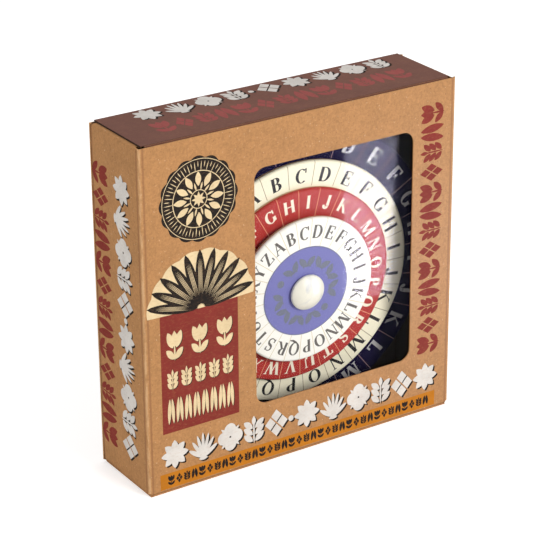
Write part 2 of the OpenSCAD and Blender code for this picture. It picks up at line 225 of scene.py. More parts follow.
@dataclass(frozen=True)
class Alphabet:
    """A plain bookish capital alphabet drawn from strokes, bowls and bracketed feet.

    Letters are one unit high. Thick strokes have the width stem, hairlines the width hair,
    and stretch widens the finished letter.
    """

    stem: float = 0.17
    hair: float = 0.06
    stretch: float = 1.2

    def foot(self, x: float, half: float = 0.13) -> Strip:
        """A foot on the base line."""
        return serif(x, 0.0, half, self.hair)

    def head(self, x: float, half: float = 0.13) -> Strip:
        """A foot at the top of a letter."""
        return serif(x, 1.0, half, -self.hair)

    def post(self, x: float, low: float = 0.0, high: float = 1.0) -> Strip:
        """An upright thick stroke."""
        return stroke(x, low, x, high, self.stem)

    def tick(self, x: float, low: float, high: float) -> Strip:
        """A short upright hairline that ends an arm."""
        return stroke(x, low, x, high, self.hair * 1.3)

    def snake(self) -> Strip:
        """The letter S: an upper and a lower arc as one path, widest where it crosses over.

        Returns:
            The strip.
        """
        upper = np.radians(np.linspace(38, 270, 22))
        lower = np.radians(np.linspace(90, -142, 22))[1:]
        x = np.concatenate([0.30 + 0.19 * np.cos(upper), 0.30 + 0.21 * np.cos(lower)])
        y = np.concatenate([0.745 + 0.225 * np.sin(upper), 0.265 + 0.235 * np.sin(lower)])
        along = np.linspace(-1.0, 1.0, len(x))
        width = self.hair + (self.stem - self.hair) * np.exp(-(along / 0.42) ** 2)
        return ribbon(np.stack([x, y], 1), width)

    def strips(self, letter: str) -> list[Strip]:
        """The strokes of one capital letter.

        Args:
            letter: a capital from A to Z.

        Returns:
            The strips, in units of the letter's height.
        """
        stem, hair, low, top = self.stem, self.hair, self.hair / 2, 1 - self.hair / 2
        post, foot, head, tick = self.post, self.foot, self.head, self.tick
        full = post(0.17), foot(0.17), head(0.17)
        shapes: dict[str, list[Strip]] = {
            "A": [stroke(0.12, 0, 0.40, 1, hair), stroke(0.67, 0, 0.40, 1, stem),
                  bar(0.2, 0.58, 0.36, hair), foot(0.12), foot(0.67, 0.15)],
            "B": [*full, bar(0.17, 0.34, top, hair), bar(0.17, 0.34, 0.53, hair),
                  bar(0.17, 0.34, low, hair), bowl(0.33, 0.765, 0.24, 0.235, -90, 90, stem, hair),
                  bowl(0.33, 0.28, 0.29, 0.28, -90, 90, stem, hair)],
            "C": [bowl(0.41, 0.5, 0.36, 0.51, 48, 312, stem, hair), tick(0.66, 0.68, 1.0)],
            "D": [*full, bar(0.17, 0.36, top, hair), bar(0.17, 0.36, low, hair),
                  bowl(0.34, 0.5, 0.39, 0.5, -90, 90, stem, hair)],
            "E": [*full, bar(0.17, 0.57, top, hair), bar(0.17, 0.46, 0.51, hair),
                  bar(0.17, 0.6, low, hair), tick(0.57, 0.76, 1.0), tick(0.46, 0.38, 0.64),
                  tick(0.60, 0.0, 0.26)],
            "F": [*full, bar(0.17, 0.57, top, hair), bar(0.17, 0.46, 0.5, hair),
                  tick(0.57, 0.74, 1.0), tick(0.46, 0.37, 0.63)],
            "G": [bowl(0.41, 0.5, 0.36, 0.51, 48, 322, stem, hair), tick(0.66, 0.68, 1.0),
                  post(0.65, 0.08, 0.44), serif(0.65, 0.44, 0.14, -hair)],
            "H": [*full, post(0.66), foot(0.66), head(0.66), bar(0.17, 0.66, 0.51, hair)],
            "I": [*full],
            "J": [post(0.33, 0.2, 1.0), head(0.33),
                  bowl(0.20, 0.16, 0.215, 0.24, 180, 360, stem, hair), disc(0.07, 0.17, 0.085, 10)],
            "K": [*full, stroke(0.24, 0.42, 0.62, 1, hair), stroke(0.68, 0, 0.34, 0.58, stem),
                  foot(0.68, 0.14), head(0.62)],
            "L": [*full, bar(0.17, 0.58, low, hair), tick(0.58, 0.0, 0.3)],
            "M": [stroke(0.13, 0, 0.13, 1, hair), stroke(0.48, 0, 0.2, 1, stem),
                  stroke(0.48, 0, 0.82, 1, hair), post(0.84), foot(0.13), foot(0.84), head(0.12, 0.1),
                  head(0.86, 0.12)],
            "N": [stroke(0.13, 0, 0.13, 1, hair), stroke(0.66, 0, 0.18, 1, stem),
                  stroke(0.7, 0, 0.7, 1, hair), foot(0.13), head(0.11, 0.1), head(0.7)],
            "O": [bowl(0.42, 0.5, 0.38, 0.51, 0, 360, stem, hair, 32)],
            "P": [*full, bar(0.17, 0.34, top, hair), bar(0.17, 0.34, 0.46, hair),
                  bowl(0.33, 0.73, 0.28, 0.27, -90, 90, stem, hair)],
            "Q": [bowl(0.42, 0.5, 0.38, 0.51, 0, 360, stem, hair, 32),
                  ribbon(np.array([[0.28, 0.02], [0.46, -0.04], [0.62, -0.16], [0.84, -0.18]]),
                         np.array([hair, stem, stem * 0.8, hair]))],
            "R": [*full, bar(0.17, 0.34, top, hair), bar(0.17, 0.38, 0.5, hair),
                  bowl(0.33, 0.75, 0.26, 0.25, -90, 90, stem, hair),
                  stroke(0.68, 0, 0.38, 0.52, stem), foot(0.7, 0.13)],
            "S": [self.snake(), tick(0.47, 0.72, 1.0), tick(0.11, 0.0, 0.28)],
            "T": [post(0.35), foot(0.35), bar(0.04, 0.66, top, hair), tick(0.04, 0.74, 1.0),
                  tick(0.66, 0.74, 1.0)],
            "U": [post(0.17, 0.26, 1.0), head(0.17),
                  bowl(0.39, 0.28, 0.305, 0.29, 180, 360, stem * 0.8, hair),
                  stroke(0.67, 0.26, 0.67, 1, hair), head(0.67)],
            "V": [stroke(0.41, 0, 0.13, 1, stem), stroke(0.41, 0, 0.68, 1, hair), head(0.13, 0.15),
                  head(0.68)],
            "W": [stroke(0.36, 0, 0.12, 1, stem), stroke(0.36, 0, 0.57, 0.9, hair),
                  stroke(0.78, 0, 0.55, 0.98, stem), stroke(0.78, 0, 1.0, 1, hair), head(0.12, 0.14),
                  head(0.55, 0.12), head(1.0)],
            "X": [stroke(0.66, 0, 0.15, 1, stem), stroke(0.12, 0, 0.66, 1, hair), foot(0.12),
                  foot(0.66, 0.15), head(0.15, 0.15), head(0.66)],
            "Y": [stroke(0.38, 0.45, 0.13, 1, stem), stroke(0.38, 0.45, 0.66, 1, hair),
                  post(0.38, 0, 0.48), foot(0.38), head(0.13, 0.14), head(0.66, 0.12)],
            "Z": [bar(0.08, 0.6, top, hair), stroke(0.14, 0.02, 0.56, 0.98, stem),
                  bar(0.08, 0.62, low, hair), tick(0.09, 0.74, 1.0), tick(0.62, 0.0, 0.28)],
        }
        return shapes[letter]

    def centred(self, letter: str) -> list[Strip]:
        """The strokes of a letter, moved so that its middle is at the origin.

        Args:
            letter: a capital from A to Z.

        Returns:
            The strips, stretched to the alphabet's width.
        """
        strips = self.strips(letter)
        xs = np.concatenate([s[..., 0].ravel() for s in strips])
        return [(s - ((xs.min() + xs.max()) / 2, 0.5)) * (self.stretch, 1.0) for s in strips]


# --------------------------------------------------------------------- ornaments


class Motif(Enum):
    """Generic printer's flowers, each about one unit high about the origin."""

    STAR = "star"
    SHELL = "shell"
    QUATREFOIL = "quatrefoil"
    DIAPER = "diaper"
    SPRIG = "sprig"
    TULIP = "tulip"
    LEAF_PAIR = "leaf pair"
    DOT = "dot"

    def strips(self, width: float) -> list[Strip]:
        """The ornament's strips.

        Args:
            width: overall width, in units of its height.

        Returns:
            The strips.
        """
        makers: dict[Motif, Callable[[float], list[Strip]]] = {
            Motif.STAR: star_flower, Motif.SHELL: scallop_shell, Motif.QUATREFOIL: quatrefoil,
            Motif.DIAPER: four_lozenges, Motif.SPRIG: sprig, Motif.TULIP: tulip,
            Motif.LEAF_PAIR: leaf_pair, Motif.DOT: lambda w: [disc(0, 0, w / 2, 14)],
        }
        return makers[self](width)


def star_flower(w: float) -> list[Strip]:
    """Eight pointed petals round a middle: lenses at every 45 degrees, squeezed to the width."""
    petals = [turned(lens(0, 0.27, 0.46, 0.25, 90, power=0.8), 45.0 * k) for k in range(8)]
    return [p * (w, 1.0) for p in [*petals, disc(0, 0, 0.1, 14)]]


def scallop_shell(w: float) -> list[Strip]:
    """A fan of seven blades from a foot, over a small crescent.

    Args:
        w: overall width, in units of the height.

    Returns:
        The strips.
    """
    blades = [turned(lens(0, 0.46, 0.86, 0.17, 90, power=0.55), a) for a in np.linspace(-66, 66, 7)]
    foot = lens(0, -0.03, 0.5, 0.13, 0, power=0.6)
    return [(s + (0, -0.42)) * (w * 0.62, 1.0) for s in [*blades, foot]]


def quatrefoil(w: float) -> list[Strip]:
    """Four round petals with small leaves between them.

    Args:
        w: overall width, in units of the height.

    Returns:
        The strips.
    """
    petals = [turned(disc(0, 0.26, 0.23, 16), 90.0 * k) for k in range(4)]
    leaves = [turned(lens(0, 0.3, 0.4, 0.12, 90), 45 + 90.0 * k) for k in range(4)]
    return [p * (w, 1.0) for p in [*petals, *leaves]]


def four_lozenges(w: float) -> list[Strip]:
    """Four lozenges set in a lozenge.

    Args:
        w: overall width, in units of the height.

    Returns:
        The strips.
    """
    size = 0.45
    places = ((0, 0.26), (0, -0.26), (-0.26, 0), (0.26, 0))
    return [diamond(x, y, size, size) * (w, 1.0) for x, y in places]


def sprig(w: float) -> list[Strip]:
    """An upright stem with three pairs of leaves and one at its tip.

    Args:
        w: overall width, in units of the height.

    Returns:
        The strips.
    """
    stem = lens(0, -0.08, 0.8, 0.07, 90, power=0.4)
    tip = lens(0, 0.32, 0.36, 0.17, 90)
    pairs = [lens(side * 0.23, y, 0.46, 0.22, 90 - side * 52, power=0.7)
             for y in (-0.27, -0.03, 0.2) for side in (-1, 1)]
    return [s * (w * 1.15, 1.0) for s in [stem, tip, *pairs]]


def tulip(w: float) -> list[Strip]:
    """A three-petalled flower on a short stem with two leaves.

    Args:
        w: overall width, in units of the height.

    Returns:
        The strips.
    """
    petals = [lens(0, 0.22, 0.56, 0.32, 90), *(lens(k * 0.2, 0.2, 0.6, 0.3, 90 - k * 24, power=0.7)
                                               for k in (-1, 1))]
    leaves = [lens(k * 0.2, -0.28, 0.52, 0.24, 90 - k * 50, power=0.7) for k in (-1, 1)]
    return [s * (w * 1.25, 1.0) for s in [*petals, *leaves, lens(0, -0.25, 0.5, 0.08, 90, power=0.4)]]


def leaf_pair(w: float) -> list[Strip]:
    """Two upright leaves that lean together."""
    return [lens(k * 0.24, 0, 1.0, 0.44, 90 + k * 12, power=0.7) * (w * 1.1, 1.0) for k in (-1, 1)]


@dataclass(frozen=True)
class OrnamentRow:
    """A row of ornaments that fills a length, in a given rhythm.

    Attributes:
        length: length of the row, in metres.
        height: height of the ornaments, in metres.
        rhythm: the ornaments and their widths as shares of their height.
    """

    length: float
    height: float
    rhythm: tuple[tuple[Motif, float], ...]

    def strips(self) -> list[Strip]:
        """The row's strips about its middle; equal gaps take up what the ornaments leave.

        Returns:
            The strips, in metres.
        """
        widths = np.array([w for _, w in self.rhythm]) * self.height
        gap = (self.length - widths.sum()) / (len(widths) - 1)
        starts = np.concatenate([[0.0], np.cumsum(widths + gap)[:-1]]) - self.length / 2
        row: list[Strip] = []
        for (motif, width), x0, w in zip(self.rhythm, starts, widths):
            row += [s * self.height + (x0 + w / 2, 0.0) for s in motif.strips(width)]
        return row


# ------------------------------------------------------------------------ planes


@dataclass(frozen=True)
class Plane:
    """A flat place for print: an origin and three unit directions.

    Attributes:
        origin: where flat coordinates start.
        right, up: directions of the flat coordinates.
        out: the way the print faces.
    """

    origin: Vector
    right: Vector
    up: Vector
    out: Vector

    def to_space(self, flat: np.ndarray, lift: float | np.ndarray = LIFT) -> np.ndarray:
        """Flat coordinates to space: origin, plus x to the right, y up and the lift outwards.

        Args:
            flat: array whose last axis holds x and y, in metres.
            lift: distance outwards, one for all points or one for each.

        Returns:
            The same array with x, y, z on its last axis.
        """
        right, up, out = (np.array(v) for v in (self.right, self.up, self.out))
        return (np.array(self.origin) + flat[..., :1] * right + flat[..., 1:2] * up + lift * out)


def mesh_object(name: str, verts: np.ndarray, faces: np.ndarray,
                finish: bpy.types.Material) -> bpy.types.Object:
    """Makes a mesh object at the origin.

    Args:
        name: the object's name.
        verts: (n, 3) points in metres.
        faces: (m, 3) or (m, 4) vertex numbers.
        finish: its material.

    Returns:
        The object, in the scene.
    """
    mesh = bpy.data.meshes.new(name)
    mesh.from_pydata(verts.tolist(), [], faces.tolist())
    mesh.update()
    mesh.materials.append(finish)
    item = bpy.data.objects.new(name, mesh)
    bpy.context.scene.collection.objects.link(item)
    return item


def link_piece(name: str, verts: np.ndarray, faces: np.ndarray, finish: bpy.types.Material,
               body: str, slot: str) -> bpy.types.Object:
    """Makes a mesh object at the origin from vertices and faces and joins it to its body.

    Args:
        name: the piece's name.
        verts: (n, 3) points in metres.
        faces: (m, 3) or (m, 4) vertex numbers.
        finish: its material.
        body: the CAD body it rides on.
        slot: not used.

    Returns:
        The mesh object.
    """
    piece = mesh_object(name, verts, faces, finish)
    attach(piece, body)
    log.info("%s: %d faces on %s", name, len(faces), body)
    return piece


def print_piece(name: str, strips: list[Strip], plane: Plane, finish: bpy.types.Material,
                body: str, slot: str, lift: float = LIFT) -> bpy.types.Object:
    """Lays flat strips on a plane as one piece of print, all faces outwards.

    Each strip gives a row of quads between its two edges. Where a quad runs clockwise its
    corners are taken in the other order, so that it faces out of the plane. Strips that
    cross lie just apart, so that neither shades the other.

    Args:
        name: the piece's name.
        strips: strips in metres, in the plane's own coordinates.
        plane: where they go.
        finish, body, slot: as in link_piece.
        lift: distance from the plane.

    Returns:
        The mesh object.
    """
    points, quads, lifts, used = [], [], [], 0
    for number, strip in enumerate(strips):
        count = strip.shape[1]
        near = used + np.arange(count - 1)
        quad = np.stack([near, near + 1, near + 1 + count, near + count], axis=1)
        flat = strip.reshape(-1, 2)
        corner = flat[quad - used]
        side_a, side_b = corner[:, 2] - corner[:, 0], corner[:, 3] - corner[:, 1]
        clockwise = side_a[:, 0] * side_b[:, 1] - side_a[:, 1] * side_b[:, 0] < 0
        quad[clockwise] = quad[clockwise][:, ::-1]
        points.append(flat)
        quads.append(quad)
        lifts.append(np.full((len(flat), 1), lift + STAGGER * (number % STAGGER_CYCLE)))
        used += len(flat)
    verts = plane.to_space(np.concatenate(points), np.concatenate(lifts))
    return link_piece(name, verts, np.concatenate(quads), finish, body, slot)


# --------------------------------------------------------------------- materials

KRAFT: Colour = (0.430, 0.212, 0.081)
WHITE = (1.0, 1.0, 1.0, 1.0)


class NodeDesk:
    """Short helpers for writing a node tree."""

    def __init__(self, tree: bpy.types.NodeTree) -> None:
        """Starts on an emptied tree."""
        tree.nodes.clear()
        self.tree = tree

    def add(self, kind: str, inputs: dict | None = None, **settings: object) -> bpy.types.Node:
        """Adds a node, sets its properties and fills or links its inputs.

        Args:
            kind: the node's type name.
            inputs: input name or number to a value or another node's output.
            settings: properties of the node.

        Returns:
            The new node.
        """
        node = self.tree.nodes.new(kind)
        for key, value in settings.items():
            setattr(node, key, value)
        for key, value in (inputs or {}).items():
            if isinstance(value, Socket):
                self.tree.links.new(value, node.inputs[key])
            else:
                node.inputs[key].default_value = value
        return node

    def finish(self, outputs: dict[Socket, Socket]) -> None:
        """Links values to a group's outputs, each given as output to value."""
        for output, value in outputs.items():
            self.tree.links.new(value, output)

    def noise(self, vector: Socket, scale: float, detail: float = 3.0, roughness: float = 0.55,
              distortion: float = 0.0) -> Socket:
        """A noise value over a vector."""
        values = {"Vector": vector, "Scale": scale, "Detail": detail, "Roughness": roughness,
                  "Distortion": distortion}
        return self.add("ShaderNodeTexNoise", values).outputs["Fac"]

    def streaks(self, vector: Socket, scale: Triple, turn: Triple, *shape: float) -> Socket:
        """A noise value over a vector that is stretched and turned first.

        Args:
            vector: the coordinates.
            scale: the noise's scale along each axis.
            turn: turn after the stretch, in radians about each axis.
            shape: the noise's detail, roughness and distortion, as many as are given.

        Returns:
            The noise value.
        """
        moved = self.add("ShaderNodeMapping", {"Vector": vector, "Scale": scale, "Rotation": turn})
        return self.noise(moved.outputs["Vector"], 1.0, *shape)

    def ramp(self, value: Socket, low: float, high: float, out_low: float = 0.0,
             out_high: float = 1.0) -> Socket:
        """A value moved smoothly from one range to another."""
        return self.add("ShaderNodeMapRange", {"Value": value, "From Min": low, "From Max": high,
                                               "To Min": out_low, "To Max": out_high},
                        interpolation_type="SMOOTHSTEP").outputs["Result"]

    def math(self, operation: str, a: object, b: object) -> Socket:
        """One operation on two values."""
        return self.add("ShaderNodeMath", {0: a, 1: b}, operation=operation).outputs[0]

    def plus(self, a: object, b: object) -> Socket:
        """The sum of two values."""
        return self.math("ADD", a, b)

    def times(self, a: object, b: object) -> Socket:
        """The product of two values."""
        return self.math("MULTIPLY", a, b)

    def scaled(self, colour: Socket, factor: Socket) -> Socket:
        """A colour made lighter or darker by a factor."""
        return self.add("ShaderNodeVectorMath", {0: colour, "Scale": factor},
                        operation="SCALE").outputs[0]

    def mix(self, factor: Socket, a: Socket | Colour, b: Socket | Colour) -> Socket:
        """Two colours mixed by a factor.

        Args:
            factor: share of the second colour.
            a, b: the colours, as sockets or plain.

        Returns:
            The mixed colour.
        """
        node = self.add("ShaderNodeMix", {"Factor": factor}, data_type="RGBA")
        for socket, value in ((node.inputs[6], a), (node.inputs[7], b)):
            if isinstance(value, Socket):
                self.tree.links.new(value, socket)
            else:
                socket.default_value = (*value, 1.0)
        return node.outputs[2]

    def inwards(self, vector: Socket, half_width: object, half_depth: object) -> tuple[Socket, Socket]:
        """Ways inwards from the side faces, and from the front and back faces.

        Args:
            vector: the coordinates.
            half_width, half_depth: how far these faces are from the middle.

        Returns:
            Distances along x and along y.
        """
        parts = self.add("ShaderNodeSeparateXYZ", {0: vector}).outputs
        return (self.math("SUBTRACT", half_width, self.math("ABSOLUTE", parts[0], 0.0)),
                self.math("SUBTRACT", half_depth, self.math("ABSOLUTE", parts[1], 0.0)))

    def seen(self) -> Socket:
        """One for camera, glossy and transmitted rays, zero for those that light matt surfaces.

        Returns:
            The mask.
        """
        rays = self.add("ShaderNodeLightPath").outputs
        mirrored = self.math("MAXIMUM", rays["Is Glossy Ray"], rays["Is Transmission Ray"])
        return self.math("MAXIMUM", rays["Is Camera Ray"], mirrored)


def effect_group(name: str, inputs: dict[str, tuple[str, object]],
                 outputs: dict[str, str]) -> tuple[bpy.types.NodeTree, NodeDesk, dict, dict]:
    """Starts a shader node group with a vector and further named inputs, and named outputs.

    Args:
        name: the group's name.
        inputs: name to (socket kind, default value), after the vector.
        outputs: name to socket kind.

    Returns:
        The tree, a desk on it, its inputs as sockets and its outputs as sockets to link to.
    """
    tree = bpy.data.node_groups.new(name, "ShaderNodeTree")
    tree.interface.new_socket("Vector", in_out="INPUT", socket_type="NodeSocketVector")
    for key, (kind, value) in inputs.items():
        socket = tree.interface.new_socket(key, in_out="INPUT", socket_type="NodeSocket" + kind)
        socket.default_value = value
    for key, kind in outputs.items():
        tree.interface.new_socket(key, in_out="OUTPUT", socket_type="NodeSocket" + kind)
    desk = NodeDesk(tree)
    start, end = desk.add("NodeGroupInput"), desk.add("NodeGroupOutput")
    return tree, desk, start.outputs, end.inputs


class Effects:
    """The shared shader effects, each made once."""

    def __init__(self) -> None:
        """Builds the groups."""
        self.fibre = self.make_fibre()
        self.fold = self.make_fold()
        self.ink = self.make_ink()
        self.handling = self.make_handling()

    @staticmethod
    def make_fibre() -> bpy.types.NodeTree:
        """Recycled board: cloudy tone, long fibres in two directions, pale and dark specks.

        Returns:
            The group.
        """
        tree, desk, given, out = effect_group("Board fibre", {"Base": ("Color", (*KRAFT, 1.0))},
                                              {"Color": "Color", "Height": "Float"})
        vector = given["Vector"]
        cloud = desk.noise(vector, 120.0, 5.0, 0.6)
        mottle = desk.noise(vector, 900.0, 5.0, 0.75)
        wander = desk.add("ShaderNodeTexNoise", {"Vector": vector, "Scale": 260.0}).outputs["Color"]
        wavy = desk.add("ShaderNodeVectorMath", {0: wander, 1: (0.004, 0.004, 0.004), 2: vector},
                        operation="MULTIPLY_ADD").outputs[0]
        level = desk.streaks(wavy, (500, 1500, 1500), (0.2, 0.5, 0.3), 3.0, 0.6)
        steep = desk.streaks(wavy, (1500, 1500, 500), (0.3, -0.6, 0.1), 3.0, 0.6)
        grain = desk.times(desk.plus(level, steep), 0.5)
        fine_tone = desk.plus(desk.ramp(mottle, 0.25, 0.75, -0.09, 0.09),
                              desk.ramp(grain, 0.36, 0.64, -0.10, 0.10))
        tone = desk.plus(desk.ramp(cloud, 0.3, 0.7, -0.05, 0.05), fine_tone)
        toned = desk.scaled(given["Base"], desk.plus(tone, 1.0))
        dark_speck = desk.ramp(desk.noise(vector, 1500.0, 1.0), 0.70, 0.76, 0.0, 0.5)
        pale_noise = desk.streaks(vector, (1250, 1250, 1250), (0.7, 0.4, 1.1), 1.0)
        pale_speck = desk.ramp(pale_noise, 0.70, 0.77, 0.0, 0.4)
        specked = desk.mix(dark_speck, toned, (0.16, 0.07, 0.03))
        desk.finish({out["Color"]: desk.mix(pale_speck, specked, (0.75, 0.56, 0.36)),
                     out["Height"]: desk.plus(grain, desk.times(mottle, 0.5))})
        return tree

    @staticmethod
    def make_fold() -> bpy.types.NodeTree:
        """Upright folds: distance from the carton's corner along the board, as a pale band of rubbed
        wear and a dark band of painted shade in the crease.

        With one of the two faces always at distance zero, the larger of the distances to the
        side faces and to the front and back faces is the way to the fold over the surface. The
        rubbed crown fades within 1.1 mm of the fold, and the shaded crease band lies from 1.0 to 2.3
        mm.

        Returns:
            The group.
        """
        tree, desk, given, out = effect_group(
            "Fold wear and crease shade", {"Half width": ("Float", 0.065), "Half depth": ("Float", 0.0165)},
            {"Crown": "Float", "Groove": "Float"})
        beside, before = desk.inwards(given["Vector"], given["Half width"], given["Half depth"])
        away = desk.math("MAXIMUM", beside, before)
        scuff = desk.streaks(given["Vector"], (900, 900, 160), (0, 0, 0), 4.0, 0.7)
        crown = desk.ramp(away, 1.1 * MM, 0.35 * MM)
        rise = desk.ramp(away, 1.0 * MM, 1.5 * MM)
        fall = desk.ramp(away, 2.3 * MM, 1.6 * MM)
        desk.finish({out["Crown"]: desk.times(crown, desk.ramp(scuff, 0.3, 0.65)),
                     out["Groove"]: desk.times(rise, fall)})
        return tree

    @staticmethod
    def make_ink() -> bpy.types.NodeTree:
        """Ink on board: the board shows through where its fibres are high, and the ink is cloudy.

        Returns:
            The group.
        """
        tree, desk, given, out = effect_group(
            "Ink on board", {"Ink": ("Color", (0.3, 0.05, 0.05, 1)), "Board": ("Color", (*KRAFT, 1.0)),
                             "Wear": ("Float", 0.3)}, {"Color": "Color", "Height": "Float"})
        vector = given["Vector"]
        fine = desk.streaks(vector, (700, 1600, 1600), (0.2, 0.1, 0.3), 4.0, 0.7, 0.5)
        cloud = desk.noise(vector, 150.0, 3.0, 0.6)
        thin = desk.times(desk.ramp(fine, 0.46, 0.72), given["Wear"])
        pits = desk.ramp(desk.noise(vector, 1700.0, 1.0), 0.68, 0.74, 0.0, 0.6)
        cover = desk.math("MAXIMUM", thin, desk.times(pits, given["Wear"]))
        inked = desk.mix(cover, given["Ink"], given["Board"])
        desk.finish({out["Color"]: desk.scaled(inked, desk.ramp(cloud, 0.3, 0.7, 0.93, 1.07)),
                     out["Height"]: fine})
        return tree

    @staticmethod
    def make_handling() -> bpy.types.NodeTree:
        """Light handling of a smooth surface: faint smears in gloss and a trace of tone.

        Returns:
            The group.
        """
        tree, desk, given, out = effect_group(
            "Handling", {"Base": ("Color", (0.8, 0.8, 0.8, 1)), "Roughness": ("Float", 0.35),
                         "Tone": ("Float", 0.03)},
            {"Color": "Color", "Roughness": "Float", "Height": "Float"})
        vector = given["Vector"]
        smear = desk.streaks(vector, (60, 60, 260), (0.3, 0.5, 0.2), 4.0, 0.6, 0.4)
        fleck = desk.noise(vector, 900.0, 3.0, 0.6)
        swing = desk.plus(desk.ramp(smear, 0.3, 0.7, -1.0, 1.0), desk.ramp(fleck, 0.3, 0.7, -1.0, 1.0))
        shade = desk.plus(desk.times(swing, desk.times(given["Tone"], 0.5)), 1.0)
        rough = desk.plus(given["Roughness"], desk.ramp(smear, 0.3, 0.75, -0.06, 0.09))
        desk.finish({out["Color"]: desk.scaled(given["Base"], shade), out["Roughness"]: rough,
                     out["Height"]: fleck})
        return tree


def blank_material(name: str) -> tuple[bpy.types.Material, NodeDesk]:
    """A new material with that name and a desk on its emptied tree.

    Args:
        name: the material's name.

    Returns:
        The material and the desk.
    """
    material = bpy.data.materials.new(name)
    material.use_nodes = True
    return material, NodeDesk(material.node_tree)


@dataclass(frozen=True)
class Finish:
    """What every finish shares: its name and the start and end of its node tree."""

    name: str

    def start(self) -> tuple[bpy.types.Material, NodeDesk, Socket]:
        """A new material, a desk on its tree and its Object coordinates."""
        material, desk = blank_material(self.name)
        return material, desk, desk.add("ShaderNodeTexCoord").outputs["Object"]

    @staticmethod
    def close(desk: NodeDesk, inputs: dict, height: Socket, bump: float,
              depth: float = 0.05 * MM) -> None:
        """Ends a tree with one bumped Principled shader.

        Args:
            desk: the tree's desk.
            inputs: the shader's inputs.
            height: the bump's height.
            bump: the bump's strength.
            depth: the bump's distance, in metres.
        """
        raised = desk.add("ShaderNodeBump", {"Height": height, "Strength": bump, "Distance": depth})
        shader = desk.add("ShaderNodeBsdfPrincipled", {**inputs, "Normal": raised.outputs["Normal"]})
        desk.add("ShaderNodeOutputMaterial", {"Surface": shader.outputs["BSDF"]})


@dataclass(frozen=True)
class KraftBoard(Finish):
    """Bare kraft board with fibres, rubbed upright folds with painted shade in their creases, and
    painted shade inside.

    Attributes:
        inside_shade: how far the painted shade darkens the inner faces.
        half_width, half_depth: the carton's outer faces from its middle.
        crown, groove_shade, inside_shade_colour: colours of the rubbed folds, of the painted shade in
            the creases and of the painted shade inside.
        crown_cover, groove_shade_cover: how much these colours cover the board at a fold.
        groove_depth: the creases' depth against the fibres' height.
        board: how far in the inner faces begin and are fully shaded.
    """

    inside_shade: float = 0.0
    half_width: float = 0.065
    half_depth: float = 0.0165
    crown: Colour = (0.74, 0.47, 0.26)
    groove_shade: Colour = (0.27, 0.12, 0.05)
    inside_shade_colour: Colour = (0.009, 0.006, 0.004)
    crown_cover: float = 0.6
    groove_shade_cover: float = 0.7
    groove_depth: float = 0.8
    board: tuple[float, float] = (0.42 * MM, 0.56 * MM)

    def make(self, effects: Effects) -> bpy.types.Material:
        """The material: fibre group, paler rubbed crowns and painted shade in the creases at folds,
        painted shade inside.

        Args:
            effects: the shared groups.

        Returns:
            The material.
        """
        material, desk, coords = self.start()
        fibre = desk.add("ShaderNodeGroup", {"Vector": coords, "Base": (*KRAFT, 1.0)},
                         node_tree=effects.fibre).outputs
        fold = desk.add("ShaderNodeGroup", {"Vector": coords, "Half width": self.half_width,
                                            "Half depth": self.half_depth},
                        node_tree=effects.fold).outputs
        pale = desk.mix(desk.times(fold["Crown"], self.crown_cover), fibre["Color"], self.crown)
        # Painted shade: the crease band is darkened as if in shade; the bump below also sinks it.
        worn_and_shaded = desk.mix(desk.times(fold["Groove"], self.groove_shade_cover), pale, self.groove_shade)
        # Painted shade: the sleeve's inner faces darken to near black, standing in for the shade inside
        # the carton.
        if self.inside_shade:
            depth = desk.math("MINIMUM", *desk.inwards(coords, self.half_width, self.half_depth))
            worn_and_shaded = desk.mix(desk.ramp(depth, *self.board, 0.0, self.inside_shade), worn_and_shaded, self.inside_shade_colour)
        crease = desk.times(fold["Groove"], self.groove_depth)
        height = desk.math("SUBTRACT", fibre["Height"], crease)
        self.close(desk, {"Base Color": worn_and_shaded, "Roughness": 0.86, "Specular IOR Level": 0.3},
                   height, 0.35)
        return material


@dataclass(frozen=True)
class BoardInk(Finish):
    """Ink printed on the board.

    Attributes:
        ink: the ink's colour.
        wear: how much of the board shows through.
        roughness, sheen: the shader's roughness and specular level.
    """

    ink: Colour
    wear: float = 0.3
    roughness: float = 0.78
    sheen: float = 0.06

    def layers(self, desk: NodeDesk, coords: Socket, effects: Effects) -> tuple[Socket, Socket, Socket]:
        """The ink group over the fibre group, so that the board shows through.

        Args:
            desk: the material's desk.
            coords: its Object coordinates.
            effects: the shared groups.

        Returns:
            The inked colour, the bare board's colour and the height.
        """
        fibre = desk.add("ShaderNodeGroup", {"Vector": coords, "Base": (*KRAFT, 1.0)},
                         node_tree=effects.fibre).outputs
        ink = desk.add("ShaderNodeGroup", {"Vector": coords, "Board": fibre["Color"],
                                           "Ink": (*self.ink, 1.0), "Wear": self.wear},
                       node_tree=effects.ink).outputs
        return ink["Color"], fibre["Color"], desk.plus(fibre["Height"], ink["Height"])

    def seal(self, desk: NodeDesk, colour: Socket, height: Socket) -> None:
        """Ends the tree with the ink's gloss."""
        self.close(desk, {"Base Color": colour, "Roughness": self.roughness,
                          "Specular IOR Level": self.sheen}, height, 0.25)

    def make(self, effects: Effects) -> bpy.types.Material:
        """The material of the ink.

        Args:
            effects: the shared groups.

        Returns:
            The material.
        """
        material, desk, coords = self.start()
        inked, _, height = self.layers(desk, coords, effects)
        self.seal(desk, inked, height)
        return material


